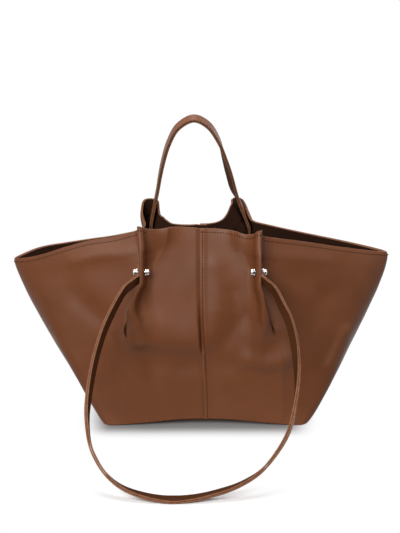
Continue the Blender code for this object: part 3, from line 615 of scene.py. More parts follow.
def wall_rows(side):
    """Rows of a wall, from the foot past the waist and the neck of the pleat to the top edge."""
    neck = shut_to(side)
    return np.concatenate([[0.0, 0.004, 0.010], np.linspace(0.02, PLEAT_SHUT_FROM, 84),
                           np.linspace(PLEAT_SHUT_FROM, neck, 12)[1:],
                           np.linspace(neck, FACING_START, 8)[1:],
                           np.linspace(FACING_START, 0.985, 10)[1:], [0.992, 0.9965, 1.0]])


def leather_relief(side, hand, u, t, grid):
    """Height of the soft creases and of the lap above the plain wall, in metres."""
    x = grid[..., 0]
    z = grid[..., 2]
    relief = np.zeros(x.shape)
    creases = FRONT_CREASES if side["name"] == "front" else BACK_CREASES
    for path, height, left, right in creases:
        distance, leftness = distance_to_path(x, z, path)
        relief += height * np.exp(-(distance / mix(right, left, (1 + leftness) / 2)) ** 2)
    seed = 1 + 2 * (side["name"] == "back") + (hand == "right")
    relief += UNDULATION * soft_noise(x, z, UNDULATION_SIZE, seed)
    calm = ease(z / CALM_EDGE) * ease((top_height(side, hand, u)[None, :] - z) / CALM_EDGE)
    past_waist = ease((t - CALM_PLEAT_FROM) / CALM_PLEAT_RISE)
    on_pleat = np.clip(1.5 - np.abs(2 * u - 3), 0, 1)[None, :] * past_waist[:, None]
    seam = plan(side, hand, u[None, :], t[:, None])[0]
    relief *= calm * (1 - on_pleat)
    relief *= ease(seam / CALM_SEAM)
    if hand == "right":
        return relief + LAP_RISE * ease((LAP_EDGE - seam) / LAP_SLOPE)
    return relief - LAP_DROP * ease((LAP_DROP_REACH - seam) / LAP_DROP_REACH)


def distance_to_path(x, z, path):
    """Distance of each point from a polyline and how squarely it lies to its left, -1 to 1."""
    nearest = np.full(x.shape, 9.0)
    leftness = np.zeros(x.shape)
    for (ax, az), (bx, bz) in zip(path, path[1:]):
        length = math.hypot(bx - ax, bz - az)
        along = ((x - ax) * (bx - ax) + (z - az) * (bz - az)) / length
        beside = ((bx - ax) * (z - az) - (bz - az) * (x - ax)) / length
        distance = np.hypot(beside, along - np.clip(along, 0, length))
        closer = distance < nearest
        nearest = np.where(closer, distance, nearest)
        leftness = np.where(closer, beside / np.maximum(distance, 1e-9), leftness)
    return nearest, leftness


def soft_noise(x, z, size, seed):
    """Slow undulation made of a few sine waves with fixed phases."""
    value = 0
    for index in range(4):
        turn = seed * 1.7 + index * 2.4
        wave = (x * math.cos(turn) + z * math.sin(turn)) * (1.0 + 0.35 * index) / size
        value = value + np.sin(2 * math.pi * wave + seed * 3.1 + index) / (1.5 + index)
    return value / 1.6


# Meshes


def add_object(name, data):
    """New object in the open collection."""
    body = bpy.data.objects.new(name, data)
    bpy.context.collection.objects.link(body)
    return body


def solid(name, points, faces, slots, materials):
    """Smooth-shaded mesh object whose faces point outwards."""
    mesh = bpy.data.meshes.new(name)
    mesh.from_pydata(np.asarray(points).tolist(), [], faces)
    for material in materials:
        mesh.materials.append(material)
    mesh.polygons.foreach_set("material_index", np.array(slots, dtype=np.int32))
    work = bmesh.new()
    work.from_mesh(mesh)
    bmesh.ops.recalc_face_normals(work, faces=work.faces)
    if work.calc_volume(signed=True) < 0:
        bmesh.ops.reverse_faces(work, faces=work.faces)
    work.to_mesh(mesh)
    work.free()
    mesh.shade_smooth()
    return add_object(name, mesh)


def closed_sheet(name, outer, inner, rounding, materials):
    """Sheet between two grids with half-round edges, the first row's in the inner face's finish.

    The materials are those of the outer face, the inner face and the edge.
    """
    rows, columns = outer.shape[:2]
    loop = [(0, c) for c in range(columns)] + [(r, columns - 1) for r in range(1, rows)]
    loop += [(rows - 1, c) for c in range(columns - 2, -1, -1)]
    loop += [(r, 0) for r in range(rows - 2, 0, -1)]
    rim = tuple(np.array(loop).T)
    outward = edge_directions(outer, loop)
    rings = [mix(outer[rim], inner[rim], share)
             - outward * (rounding * (1 - math.sqrt(1 - (2 * share - 1) ** 2)))
             for share in EDGE_SHARES]
    outer, inner = outer.copy(), inner.copy()
    outer[rim] -= outward * rounding
    inner[rim] -= outward * rounding
    index = np.arange(rows * columns).reshape(rows, columns)
    face = np.stack([index[:-1, :-1], index[:-1, 1:], index[1:, 1:], index[1:, :-1]], -1)
    face = face.reshape(-1, 4)
    quads = [face, face[:, ::-1] + index.size]
    slots = [0] * len(face) + [1] * len(face)
    around = np.arange(len(loop)) + 2 * index.size
    ladders = [index[rim]] + [around + k * len(loop) for k in range(len(rings))]
    ladders += [index[rim] + index.size]
    for low, high in zip(ladders, ladders[1:]):
        quads.append(np.stack([low, high, np.roll(high, -1), np.roll(low, -1)], -1))
        slots += [1 if row == 0 else 2 for row, _ in loop]
    points = np.concatenate([outer.reshape(-1, 3), inner.reshape(-1, 3)] + rings)
    return solid(name, points, np.concatenate(quads).tolist(), slots, materials)


def edge_directions(grid, loop):
    """Direction that leads out of the sheet at each point of its boundary."""
    rows, columns = grid.shape[:2]
    result = np.zeros((len(loop), 3))
    for direction, (r, c) in zip(result, loop):
        if r in (0, rows - 1):
            step = grid[r, c] - grid[1 if r == 0 else rows - 2, c]
            direction += step / np.linalg.norm(step)
        if c in (0, columns - 1):
            step = grid[r, c] - grid[r, 1 if c == 0 else columns - 2]
            direction += step / np.linalg.norm(step)
    return result


def turned_solid(name, profile, start, direction, sides, material):
    """Solid of revolution about an axis along X; profile points are (along, radius)."""
    points, rings, faces = [], [], []
    for along, radius in profile:
        turns = [2 * math.pi * index / sides for index in range(sides if radius else 1)]
        rings.append(range(len(points), len(points) + len(turns)))
        points += [(start.x + direction * along, start.y + radius * math.cos(turn),
                    start.z + radius * math.sin(turn)) for turn in turns]
    for ring, following in zip(rings, rings[1:]):
        for index in range(sides):
            after = (index + 1) % sides
            corners = (ring[index % len(ring)], ring[after % len(ring)],
                       following[after % len(following)], following[index % len(following)])
            faces.append(tuple(dict.fromkeys(corners)))
    body = solid(name, points, faces, [0] * len(faces), [material])
    body.data.set_sharp_from_angle(angle=SHARP_FROM)
    return body


def plate_from_rings(name, rings, material):
    """Closed plate from rings of equal length, listed from the middle of one face to the other."""
    count = len(rings[0])
    around = np.arange(count)
    after = np.roll(around, -1)
    faces = []
    for start in range(0, (len(rings) - 1) * count, count):
        faces += np.stack([start + around, start + after, start + count + after,
                           start + count + around], -1).tolist()
    middle = len(rings) * count
    for start, centre in ((0, middle), (middle - count, middle + 1)):
        faces += [(start + a, start + b, centre) for a, b in zip(around.tolist(), after.tolist())]
    points = np.concatenate(rings + [ring.mean(axis=0)[None] for ring in (rings[0], rings[-1])])
    return solid(name, points, faces, [0] * len(faces), [material])


# Finishes


class Graph:
    """Short hand for adding and joining nodes in a tree."""

    def __init__(self, tree):
        self.tree = tree

    def feed(self, node, *ordered, **named):
        """Join a node's inputs to sockets, or set them, by place or by name with underscores."""
        inputs = list(enumerate(ordered))
        inputs += [(key.replace("_", " "), value) for key, value in named.items()]
        for key, value in inputs:
            if isinstance(value, bpy.types.NodeSocket):
                self.tree.links.new(value, node.inputs[key])
            elif value is not None:
                node.inputs[key].default_value = value

    def add(self, kind, *ordered, **named):
        """New node: the names that it has itself are settings, and the others are inputs."""
        node = self.tree.nodes.new(kind)
        for key in [key for key in named if hasattr(node, key)]:
            setattr(node, key, named.pop(key))
        self.feed(node, *ordered, **named)
        return node

    def ramp(self, value, low, high, low_at=0.0, high_at=1.0, **settings):
        """Value carried from one range to another and held inside it."""
        node = self.add("ShaderNodeMapRange", value, low_at, high_at, low, high, **settings)
        return node.outputs["Result"]


class Finish(Graph):
    """A material, with patterns on its pieces' own coordinates."""

    def __init__(self, name):
        self.material = bpy.data.materials.new(name)
        self.material.use_nodes = True
        super().__init__(self.material.node_tree)
        self.shader = self.tree.nodes["Principled BSDF"]
        self.where = self.add("ShaderNodeTexCoord").outputs["Object"]

    def noise(self, scale, detail=3.0, roughness=0.5):
        return self.add("ShaderNodeTexNoise", Vector=self.where, Scale=scale, Detail=detail,
                        Roughness=roughness).outputs["Fac"]

    def tones(self, share, colour, dark_share):
        """Colour that varies between a darker tone and the full one."""
        node = self.add("ShaderNodeMix", share, data_type="RGBA")
        dark, full = [socket for socket in node.inputs if socket.type == "RGBA"]
        dark.default_value = (*(channel * dark_share for channel in colour), 1)
        full.default_value = (*colour, 1)
        return next(socket for socket in node.outputs if socket.type == "RGBA")

    def bump(self, height, strength, distance, below=None):
        return self.add("ShaderNodeBump", Height=height, Strength=strength, Distance=distance,
                        Normal=below).outputs["Normal"]


def leather_finish(name, colour, dark_share, roughness, grain, gloss_level):
    """Smooth coated leather: fine pebble, pores, slow tone changes and uneven gloss."""
    graph = Finish(name)
    tone = graph.ramp(graph.noise(14.0, 4.0, 0.55), 0.0, 1.0, 0.30, 0.62)
    gloss = graph.ramp(graph.noise(55.0, 3.0, 0.6), roughness - 0.05, roughness + 0.07, 0.3, 0.7)
    pebble = graph.add("ShaderNodeTexVoronoi", feature="SMOOTH_F1", Vector=graph.where,
                       Scale=900.0, Smoothness=0.6)
    relief = graph.bump(pebble.outputs["Distance"], grain, 0.00025)
    relief = graph.bump(graph.noise(240.0, 4.0, 0.6), grain * 0.8, 0.0004, relief)
    graph.feed(graph.shader, Base_Color=graph.tones(tone, colour, dark_share), Roughness=gloss,
               Specular_IOR_Level=gloss_level, Normal=relief)


def edge_finish(name, colour):
    """Painted cut edge."""
    graph = Finish(name)
    tone = graph.ramp(graph.noise(160.0), 0.0, 1.0, 0.35, 0.65)
    graph.feed(graph.shader, Base_Color=graph.tones(tone, colour, 0.75), Roughness=0.55,
               Specular_IOR_Level=0.12, Normal=graph.bump(graph.noise(500.0), 0.3, 0.0003))


def thread_finish(name, colour):
    """Waxed thread with a fine twist, also used for the painted shade in the needle holes."""
    graph = Finish(name)
    graph.feed(graph.shader, Base_Color=(*colour, 1), Roughness=0.6, Specular_IOR_Level=0.05,
               Normal=graph.bump(graph.noise(3000.0, 2.0), 0.4, 0.0001))


def chrome_finish(name, colour):
    """Polished plating with faint wipe marks."""
    graph = Finish(name)
    graph.feed(graph.shader, Base_Color=(*colour, 1), Metallic=1.0,
               Roughness=graph.ramp(graph.noise(700.0), 0.04, 0.10, 0.3, 0.7))


# Each finish's maker and colour, and for leather its dark share, roughness, grain and gloss level
FINISHES = {
    "brown_leather": (leather_finish, "leather", 0.86, 0.41, 0.16, 0.21),
    "strap_leather": (leather_finish, "strap", 0.88, 0.46, 0.10, 0.25),
    # Straps' inner faces: the strap leather made darker as a painted shade
    "strap_lining": (leather_finish, "strap_lining", 0.85, 0.6, 0.10, 0.06),
    "dark_lining": (leather_finish, "lining", 0.75, 0.75, 0.4, 0.05),
    "stiffener_board": (leather_finish, "board", 0.8, 0.8, 0.4, 0.05),
    "edge_paint": (edge_finish, "edge"),
    "thread": (thread_finish, "thread"),
    "needle_hole": (thread_finish, "needle_hole"),
    "chrome": (chrome_finish, "chrome"),
}


def finish(key):
    """The finish of that name, made once."""
    name = f"tote_{key}"
    if name not in bpy.data.materials:
        make, colour, *values = FINISHES[key]
        make(name, tuple(getattr(bpy.context.scene.tote_colours, colour)), *values)
    return bpy.data.materials[name]


# Sizes and colours that a user would change


def length(name, description, default, low, high):
    return FloatProperty(name=name, description=description, default=default, min=low, max=high,
                         unit="LENGTH")


def colour(name, description, default):
    return FloatVectorProperty(name=name, description=description, default=default, min=0, max=1,
                               subtype="COLOR")


class ToteSizes(bpy.types.PropertyGroup):
    edge_rounding: length(
        "Edge rounding", "How far the cut edges are rounded off", 0.0005, 0.0001, 0.001)
    stitch_pitch: length(
        "Stitch pitch", "Distance from one needle hole to the next", 0.0033, 0.001, 0.01)
    stitch_radius: length("Thread radius", "Radius of the sewing thread", 0.00052, 0.0001, 0.001)
    # The dimple is painted shade: a dark ball at each needle hole
    hole_radius: length(
        "Hole radius", "Half width of the dark dimple round a needle hole", 0.0009, 0.0001, 0.002)
    edge_row: length(
        "Edge row", "Distance of the row of stitches from the top edge", 0.0048, 0.002, 0.02)
    seam_row: length(
        "Seam row", "Distance of the row of stitches from the centre seam", 0.003, 0.002, 0.02)
    head_sides: IntProperty(
        name="Head sides", description="Sides of the round screw heads", default=48, min=12, max=96)
    strap_step: length(
        "Strap step", "Length of one span of a strap's mesh", 0.0015, 0.0005, 0.01)


class ToteColours(bpy.types.PropertyGroup):
    leather: colour("Leather", "Colour of the outer leather", (0.147, 0.048, 0.0178))
    strap: colour("Straps", "Colour of the strap leather", (0.175, 0.062, 0.0245))
    # Straps' inner faces: the strap leather darkened to a painted shade
    strap_lining: colour("Strap insides", "Colour of the straps' inner faces", (0.062, 0.02, 0.007))
    lining: colour("Lining", "Colour of the inside", (0.03, 0.0125, 0.007))
    edge: colour("Edge paint", "Colour of the cut edges", (0.225, 0.098, 0.05))
    thread: colour("Thread", "Colour of the stitching", (0.165, 0.06, 0.026))
    needle_hole: colour(
        "Needle holes", "Colour of the shade in the needle holes", (0.016, 0.005, 0.002))
    board: colour("Board", "Colour of the base board", (0.035, 0.016, 0.01))
    chrome: colour("Chrome", "Colour of the screw posts", (0.76, 0.75, 0.74))


def settle(piece, body, slot, *nodes):
    """Hang a finished piece on its body's empty and hide the imported parts that it stands for."""
    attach(piece, body)
    if nodes:
        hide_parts(*nodes)
    return piece


def halves():
    """Each half of the front and the back, with the words that name it."""
    for side in SIDES:
        for hand in HANDS:
            yield side, hand, f"{side['name']}_{hand}"


class TOTE_OT_panels(bpy.types.Operator):
    """Four leather halves with their pinched pleats"""
    bl_idname = "tote.panels"
    bl_label = "Leather Panels"

    def execute(self, context):
        rounding = context.scene.tote_sizes.edge_rounding
        materials = [finish("brown_leather"), finish("dark_lining"), finish("edge_paint")]
        for side, hand, label in halves():
            wall = Wall(side, hand)
            piece = closed_sheet(f"leather_{label}", wall.outer, wall.face(PANEL_THICKNESS),
                                 rounding, materials)
            settle(piece, "bag", "brown_leather", f"{label}_panel")
        return {"FINISHED"}


class TOTE_OT_facings(bpy.types.Operator):
    """Dark strips inside the top edge"""
    bl_idname = "tote.facings"
    bl_label = "Facings"

    def execute(self, context):
        materials = [finish("dark_lining")] * 2 + [finish("edge_paint")]
        for side, hand, label in halves():
            wall = Wall(side, hand)
            strip = np.ix_(wall.t >= FACING_START - ROW_TOLERANCE, wall.u >= FACING_FROM)
            near = wall.face(PANEL_THICKNESS + CLEARANCE / 2)[strip]
            far = wall.face(PANEL_THICKNESS + CLEARANCE / 2 + FACING_THICKNESS)[strip]
            piece = closed_sheet(f"facing_{label}", near, far, FACING_ROUNDING, materials)
            settle(piece, "bag", "dark_lining", f"{label}_facing")
        return {"FINISHED"}


def base_ring(margin, height, lifted=True):
    """Rounded outline of the base, inset by a margin."""
    radius = max(BASE_CORNER_RADIUS - margin, BASE_SMALLEST_RADIUS)
    reach_x = BASE_HALF_WIDTH - margin - radius
    reach_y = BASE_HALF_DEPTH - margin - radius
    ring = []
    for quarter, (sign_x, sign_y) in enumerate(((1, 1), (-1, 1), (-1, -1), (1, -1))):
        for turn in (quarter + np.linspace(0, 1, CORNER_POINTS)) * math.pi / 2:
            ring.append((sign_x * reach_x + radius * math.cos(turn),
                         sign_y * reach_y + radius * math.sin(turn)))
        if sign_x == sign_y:
            run = np.linspace(sign_x * reach_x, -sign_x * reach_x, LONG_EDGE_POINTS)[1:-1]
            ring += [(x, sign_y * (reach_y + radius)) for x in run]
        else:
            run = np.linspace(sign_y * reach_y, -sign_y * reach_y, SHORT_EDGE_POINTS)[1:-1]
            ring += [(sign_x * (reach_x + radius), y) for y in run]
    x, y = np.array(ring).T
    rise = rim_lift(x, np.abs(y)) * lifted
    return np.stack([x + BASE_SIDE_SWAY, y, height + rise], axis=1)


class TOTE_OT_base(bpy.types.Operator):
    """Leather base with rolled long edges, and the board inside"""
    bl_idname = "tote.base"
    bl_label = "Base"

    def execute(self, context):
        turns = np.linspace(0, math.pi / 2, 5)
        bend = [(PANEL_THICKNESS / 2 + BASE_ROUNDING * (1 - math.sin(turn)),
                 BASE_ROUNDING * (1 - math.cos(turn))) for turn in turns]
        rings = [base_ring(margin, 0.0) for margin in BASE_MARGINS]
        rings += [base_ring(margin, up) for margin, up in bend]
        rings += [base_ring(margin, BASE_THICKNESS - up) for margin, up in reversed(bend)]
        rings += [base_ring(margin, BASE_THICKNESS) for margin in reversed(BASE_MARGINS)]
        base = plate_from_rings("leather_base", rings, finish("brown_leather"))
        settle(base, "bag", "brown_leather", "base_panel")
        low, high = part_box("base_board")
        margin = BASE_HALF_DEPTH - high[1]
        soft = BOARD_ROUNDING
        steps = ((soft + BOARD_RING, low[2]), (soft, low[2]), (0.0, low[2] + soft),
                 (0.0, high[2] - soft), (soft, high[2]), (soft + BOARD_RING, high[2]))
        rings = [base_ring(margin + inset, height, False) for inset, height in steps]
        board = plate_from_rings("base_stiffener", rings, finish("stiffener_board"))
        settle(board, "bag", "stiffener_board", "base_board")
        return {"FINISHED"}


class TOTE_OT_studs(bpy.types.Operator):
    """Chrome screw posts and their screws"""
    bl_idname = "tote.studs"
    bl_label = "Screw Posts"

    def execute(self, context):
        sides = context.scene.tote_sizes.head_sides
        for side, hand, label in halves():
            for part, direction in (("post", HAND_SIGN[hand]), ("screw", -HAND_SIGN[hand])):
                node = f"{label}_{part}"
                low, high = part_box(node)
                start = Vector((low[0] if direction > 0 else high[0], (low[1] + high[1]) / 2,
                                POST_AXIS[side["strap_joint"]].z))
                length = high[0] - low[0]
                profile = HEAD_PROFILE + ((HEAD_HEIGHT, SHANK_RADIUS[part]),
                                          (length, SHANK_RADIUS[part]), (length, 0.0))
                piece = turned_solid(f"chrome_{node}", profile, start, direction, sides,
                                     finish("chrome"))
                settle(piece, "bag", "chrome", node)
        return {"FINISHED"}


def strap_frames(line, down, twist, flat_turn):
    """Middle points of a strap, its direction across and the normal of its inner face."""
    points = np.stack([line[:, 0], line[:, 1] * down[1], line[:, 1] * down[2]], axis=1)
    run = np.gradient(points, axis=0)
    run /= np.linalg.norm(run, axis=1, keepdims=True)
    inward = np.cross(np.array((0.0, down[2], -down[1])), run)
    way = np.concatenate([[0], np.cumsum(np.linalg.norm(np.diff(points, axis=0), axis=1))])
    turn = np.radians(smooth_value(twist, way / way[-1]))
    if flat_turn is not None:
        turn = mix(turn, flat_turn, 1 - np.abs(run @ np.array(down)))
    turn = turn[:, None]
    normal = inward * np.cos(turn) + np.cross(run, inward) * np.sin(turn)
    return points, np.cross(normal, run), normal


def strap_with_tabs(line, end_x, step):
    """Middle line with the tabs below the screw heads, and the share of the width at each point."""
    tab = [(-STRAP_TAB - STRAP_WIDTH / 2 * math.cos(turn), math.sin(turn))
           for turn in np.linspace(TAB_TIP_TURN, math.pi / 2, 10)]
    straight = np.linspace(-STRAP_TAB, line[0, 1], round((STRAP_TAB + line[0, 1]) / step))[1:-1]
    tab += [(down, 1.0) for down in straight]
    full = [(-end_x, down) for down, _ in tab] + [tuple(point) for point in line]
    full += [(end_x, down) for down, _ in reversed(tab)]
    widths = [width for _, width in tab] + [1.0] * len(line) + [width for _, width in reversed(tab)]
    return np.array(full), np.array(widths)


def build_strap(name, side, line, end_x, down, twist, flat_turn, step):
    """Both layers of a strap, in the plane that X and the way down from the posts span."""
    origin = np.array(POST_AXIS[side["strap_joint"]])
    full, widths = strap_with_tabs(line, end_x, step)
    points, across, normal = strap_frames(full, down, twist, flat_turn)
    reach = np.array(STRAP_SHARES)[None, :, None] * (STRAP_WIDTH / 2)
    # The lining layer's inner face takes the straps' painted shade
    layers = (("outer", -1, "strap_leather", "brown_leather"),
              ("lining", 1, "strap_lining", "dark_lining"))
    for layer, sign, inside, slot in layers:
        levels = sorted((sign * CLEARANCE / 2, sign * (STRAP_LAYER + CLEARANCE / 2)))
        faces = [(origin + points + normal * level)[:, None, :]
                 + across[:, None, :] * reach * widths[:, None, None] for level in levels]
        materials = [finish("strap_leather"), finish(inside), finish("edge_paint")]
        piece = closed_sheet(f"{name}_{layer}", *faces, STRAP_ROUNDING, materials)
        settle(piece, name, slot, f"{name}_{layer}")


class TOTE_OT_shoulder_strap(bpy.types.Operator):
    """Long strap thrown forward, its lowest stretch flat on the floor"""
    bl_idname = "tote.shoulder_strap"
    bl_label = "Shoulder Strap"

    def execute(self, context):
        step = context.scene.tote_sizes.strap_step
        end_x = (FRONT["pleat_x"] + FRONT["fold_radius_shut"] + CLEARANCE + STRAP_LAYER
                 + CLEARANCE / 2)
        drop = strap_middle(SHOULDER_LINE, end_x, STRAP_STEP)[:, 1].max()
        contact = ((STRAP_LAYER + CLEARANCE / 2) * math.cos(FLOOR_TILT)
                   + STRAP_WIDTH / 2 * math.sin(FLOOR_TILT) + FLOOR_GAP)
        slope = math.asin((STUD_HEIGHT - contact) / drop)
        down = (0.0, -math.cos(slope), -math.sin(slope))
        build_strap("shoulder_strap", FRONT, strap_middle(SHOULDER_LINE, end_x, step), end_x, down,
                    SHOULDER_TWIST, math.pi / 2 - slope + FLOOR_TILT, step)
        return {"FINISHED"}


class TOTE_OT_carry_handle(bpy.types.Operator):
    """Short handle that stands up from the back pleats"""
    bl_idname = "tote.carry_handle"
    bl_label = "Carry Handle"

    def execute(self, context):
        step = context.scene.tote_sizes.strap_step
        end_x = BACK["pleat_x"]
        up = (0.0, -math.sin(HANDLE_LEAN), math.cos(HANDLE_LEAN))
        build_strap("carry_handle", BACK, strap_middle(HANDLE_LINE, end_x, step), end_x, up,
                    HANDLE_TWIST, None, step)
        return {"FINISHED"}


def stitch_tree():
    """Geometry Nodes that sew a path: thread between the holes and a painted-shade ball at each
    hole.
    """
    tree = bpy.data.node_groups.new("sewn_row", "GeometryNodeTree")
    sockets = [("Geometry", "OUTPUT", "Geometry"), ("Geometry", "INPUT", "Geometry")]
    sockets += [(name, "INPUT", "Float") for name in ("Pitch", "Thread Radius", "Hole Radius")]
    sockets += [(name, "INPUT", "Material") for name in ("Thread", "Hole")]
    for name, way, kind in sockets:
        tree.interface.new_socket(name, in_out=way, socket_type=f"NodeSocket{kind}")
    graph = Graph(tree)
    given = graph.add("NodeGroupInput").outputs
    curve = graph.add("GeometryNodeMeshToCurve", given["Geometry"])
    spaced = graph.add("GeometryNodeResampleCurve", mode="LENGTH", Curve=curve.outputs["Curve"],
                       Length=given["Pitch"])
    points = graph.add("GeometryNodeCurveToPoints", spaced.outputs["Curve"],
                       mode="EVALUATED").outputs
    half_pitch = graph.add("ShaderNodeMath", given["Pitch"], 0.5, operation="MULTIPLY")
    along = graph.add("ShaderNodeVectorMath", points["Tangent"], operation="SCALE",
                      Scale=half_pitch.outputs[0])
    between = graph.add("GeometryNodeSetPosition", points["Points"],
                        Offset=along.outputs["Vector"])
    merged = graph.add("GeometryNodeJoinGeometry")
    for part, source, length in (("Thread", between.outputs["Geometry"], THREAD_LENGTH),
                                 ("Hole", points["Points"], HOLE_LENGTH)):
        ball = graph.add("GeometryNodeMeshUVSphere", Segments=8, Rings=6,
                         Radius=given[f"{part} Radius"])
        placed = graph.add("GeometryNodeInstanceOnPoints", source, Instance=ball.outputs["Mesh"],
                           Rotation=points["Rotation"], Scale=(1.0, 1.0, length))
        real = graph.add("GeometryNodeRealizeInstances", placed.outputs["Instances"])
        paint = graph.add("GeometryNodeSetMaterial", real.outputs["Geometry"], Material=given[part])
        graph.feed(merged, paint.outputs["Geometry"])
    graph.add("NodeGroupOutput", merged.outputs["Geometry"])
    return tree


def sew(name, paths, body, context):
    """Sew rows along the paths and turn them into one plain mesh."""
    sizes = context.scene.tote_sizes
    edges = []
    start = 0
    for path in paths:
        edges += [(start + index, start + index + 1) for index in range(len(path) - 1)]
        start += len(path)
    mesh = bpy.data.meshes.new(f"{name}_path")
    mesh.from_pydata(np.concatenate(paths).tolist(), edges, [])
    guide = add_object(f"{name}_path", mesh)
    modifier = guide.modifiers.new("sewn row", "NODES")
    modifier.node_group = bpy.data.node_groups.get("sewn_row") or stitch_tree()
    values = {"Pitch": sizes.stitch_pitch, "Thread Radius": sizes.stitch_radius,
              "Hole Radius": sizes.hole_radius,
              "Thread": finish("thread"), "Hole": finish("needle_hole")}
    for socket in modifier.node_group.interface.items_tree:
        if socket.in_out == "INPUT" and socket.name in values:
            modifier[socket.identifier] = values[socket.name]
    evaluated = guide.evaluated_get(context.evaluated_depsgraph_get())
    sewn = bpy.data.meshes.new_from_object(evaluated)
    bpy.data.objects.remove(guide, do_unlink=True)
    sewn.name = name
    sewn.shade_smooth()
    return settle(add_object(name, sewn), body, "brown_leather")


class TOTE_OT_stitching(bpy.types.Operator):
    """Rows of stitches along the top edges and the centre seams"""
    bl_idname = "tote.stitching"
    bl_label = "Stitching"

    def execute(self, context):
        sizes = context.scene.tote_sizes
        sunk = sizes.hole_radius * HOLE_SUNK_SHARE
        paths = []
        for side, hand, label in halves():
            wall = Wall(side, hand)
            u = np.interp(np.linspace(0, 1, ROW_POINTS), np.linspace(0, 1, len(wall.u)), wall.u)
            u = u[(u > ROW_FROM.get(label, ROW_FROM_SEAM)) & (u < ROW_TO)]
            paths.append(wall.follow(u, wall.path_at_depth(u, sizes.edge_row), sunk))
            if hand == "right":
                top = 1 - sizes.edge_row / CENTRE_HEIGHT
                t = np.linspace(SEAM_ROW_FROM, top, SEAM_ROW_POINTS)
                seam_u = sizes.seam_row / plan(side, hand, 1.0, t)[0]
                paths.append(wall.follow(seam_u, t, sunk))
        sew("stitching", paths, "bag", context)
        return {"FINISHED"}


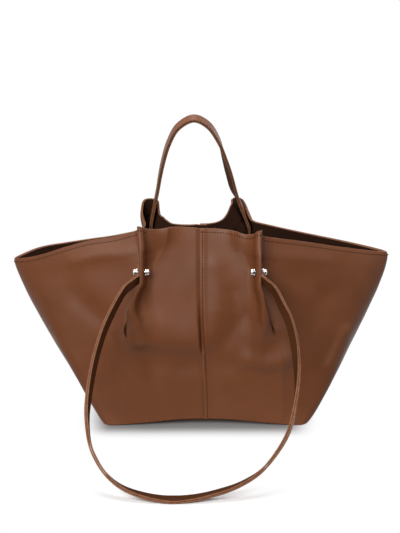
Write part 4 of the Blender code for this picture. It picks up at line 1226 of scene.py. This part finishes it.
class TOTE_OT_stage(bpy.types.Operator):
    """Pale floor, soft lights and the camera at the photographed angle"""
    bl_idname = "tote.stage"
    bl_label = "Stage"

    def execute(self, context):
        self.add_sheet("floor", [(-FLOOR_REACH, -FLOOR_REACH, 0), (FLOOR_REACH, -FLOOR_REACH, 0),
                                 (FLOOR_REACH, FLOOR_REACH, 0), (-FLOOR_REACH, FLOOR_REACH, 0)],
                       [(0, 1, 2, 3)], self.floor_finish())
        self.add_dark_card()
        self.add_world(context.scene)
        for name, place, size, power in LAMPS:
            data = bpy.data.lights.new(name, "AREA")
            data.size = size
            data.energy = power
            self.place_looking(name, data, Vector(place), LAMP_AIM - Vector(place))
        data = bpy.data.cameras.new("camera")
        data.sensor_width = SENSOR
        data.lens = CAMERA_FOCAL_PX / PHOTO_HEIGHT_PX * SENSOR
        look = Vector((0, math.cos(CAMERA_ELEVATION), -math.sin(CAMERA_ELEVATION)))
        context.scene.camera = self.place_looking(
            "camera", data, CAMERA_TARGET - look * CAMERA_DISTANCE, look)
        context.scene.view_settings.view_transform = "Standard"
        return {"FINISHED"}

    def place_looking(self, name, data, place, look):
        body = add_object(name, data)
        body.location = place
        body.rotation_euler = look.to_track_quat("-Z", "Y").to_euler()
        return body

    def add_sheet(self, name, points, faces, material):
        mesh = bpy.data.meshes.new(name)
        mesh.from_pydata(points, [], faces)
        mesh.materials.append(material)
        sheet = add_object(name, mesh)
        return sheet

    def floor_finish(self):
        """White floor, clear from below, keeping the shadow and a painted shadow near the bag, then
        white.
        """
        graph = Finish("studio_floor")
        seen = self.seen_directly(graph)
        zones = [self.shaded_zone(graph, *zone) for zone in FLOOR_ZONES]
        # The seen colour falls from white to a painted shadow at the bag's foot
        tone = graph.ramp(zones[0], FLOOR_SEEN, FLOOR_PAINTED_SHADOW_AT_FOOT)
        graph.feed(graph.shader, Base_Color=graph.ramp(seen, FLOOR_COLOUR, tone), Roughness=0.9,
                   Specular_IOR_Level=0.0)
        plain = graph.add("ShaderNodeEmission", Strength=seen)
        shaded = graph.add("ShaderNodeMath", *zones, operation="MAXIMUM")
        above = graph.add("ShaderNodeMixShader", shaded.outputs[0], plain.outputs[0],
                          graph.shader.outputs[0])
        below = graph.add("ShaderNodeBsdfTransparent")
        face = graph.add("ShaderNodeNewGeometry")
        both = graph.add("ShaderNodeMixShader", face.outputs["Backfacing"], above.outputs[0],
                         below.outputs[0])
        graph.feed(graph.tree.nodes["Material Output"], both.outputs[0])
        return graph.material

    def seen_directly(self, graph):
        """1 for what the camera sees itself, in a reflection or through glass."""
        path = graph.add("ShaderNodeLightPath").outputs
        seen = path["Is Camera Ray"]
        for kind in ("Is Glossy Ray", "Is Transmission Ray"):
            seen = graph.add("ShaderNodeMath", seen, path[kind], operation="MAXIMUM").outputs[0]
        return seen

    def shaded_zone(self, graph, centre, half_size, fade):
        """Share of the shading that is kept: 1 in a box on the floor, fading to 0 round it."""
        vector = graph.where
        for operation, value in (("SUBTRACT", (*centre, 0.0)), ("ABSOLUTE", None),
                                 ("SUBTRACT", (*half_size, 0.0)), ("MAXIMUM", (0.0, 0.0, 0.0))):
            node = graph.add("ShaderNodeVectorMath", vector, value, operation=operation)
            vector = node.outputs["Vector"]
        distance = graph.add("ShaderNodeVectorMath", vector, operation="LENGTH").outputs["Value"]
        return graph.ramp(distance, 1.0, 0.0, 0.0, fade, interpolation_type="SMOOTHSTEP")

    def add_world(self, scene):
        scene.world = bpy.data.worlds.new("studio")
        scene.world.use_nodes = True
        graph = Graph(scene.world.node_tree)
        strength = graph.ramp(self.seen_directly(graph), WORLD_LIGHT, 1.0)
        graph.feed(graph.tree.nodes["Background"], (1, 1, 1, 1), strength)

    def add_dark_card(self):
        """Bent dark card in front of the bag that only reflections show, for the dark in chrome."""
        graph = Finish("dark_card")
        graph.feed(graph.shader, Base_Color=(0.01, 0.01, 0.01, 1), Roughness=1.0)
        points = [(x, y, z) for y, z in CARD_PROFILE for x in (-CARD_HALF_WIDTH, CARD_HALF_WIDTH)]
        card = self.add_sheet("dark_card", points, [(0, 1, 3, 2), (2, 3, 5, 4)], graph.material)
        card.visible_camera = False
        card.visible_diffuse = False
        card.visible_shadow = False


class TOTE_PT_sidebar(bpy.types.Panel):
    """Steps of the tote bag"""
    bl_label = "Tote Bag"
    bl_idname = "TOTE_PT_sidebar"
    bl_space_type = "VIEW_3D"
    bl_region_type = "UI"
    bl_category = "Tote Bag"

    def draw(self, context):
        for step in STEPS:
            self.layout.operator(step.bl_idname)
        for group in (context.scene.tote_sizes, context.scene.tote_colours):
            for name in group.__annotations__:
                self.layout.prop(group, name)


STEPS = (TOTE_OT_stage, TOTE_OT_panels, TOTE_OT_facings, TOTE_OT_base, TOTE_OT_studs,
         TOTE_OT_shoulder_strap, TOTE_OT_carry_handle, TOTE_OT_stitching)
CLASSES = (ToteSizes, ToteColours) + STEPS + (TOTE_PT_sidebar,)


def register():
    for cls in CLASSES:
        bpy.utils.register_class(cls)
    bpy.types.Scene.tote_sizes = PointerProperty(type=ToteSizes)
    bpy.types.Scene.tote_colours = PointerProperty(type=ToteColours)


def unregister():
    del bpy.types.Scene.tote_colours
    del bpy.types.Scene.tote_sizes
    for cls in reversed(CLASSES):
        bpy.utils.unregister_class(cls)


def main():
    register()
    bpy.ops.tote.stage()
    bpy.ops.tote.panels()
    bpy.ops.tote.facings()
    bpy.ops.tote.base()
    bpy.ops.tote.studs()
    bpy.ops.tote.shoulder_strap()
    bpy.ops.tote.carry_handle()
    bpy.ops.tote.stitching()


if __name__ == "__main__":
    main()
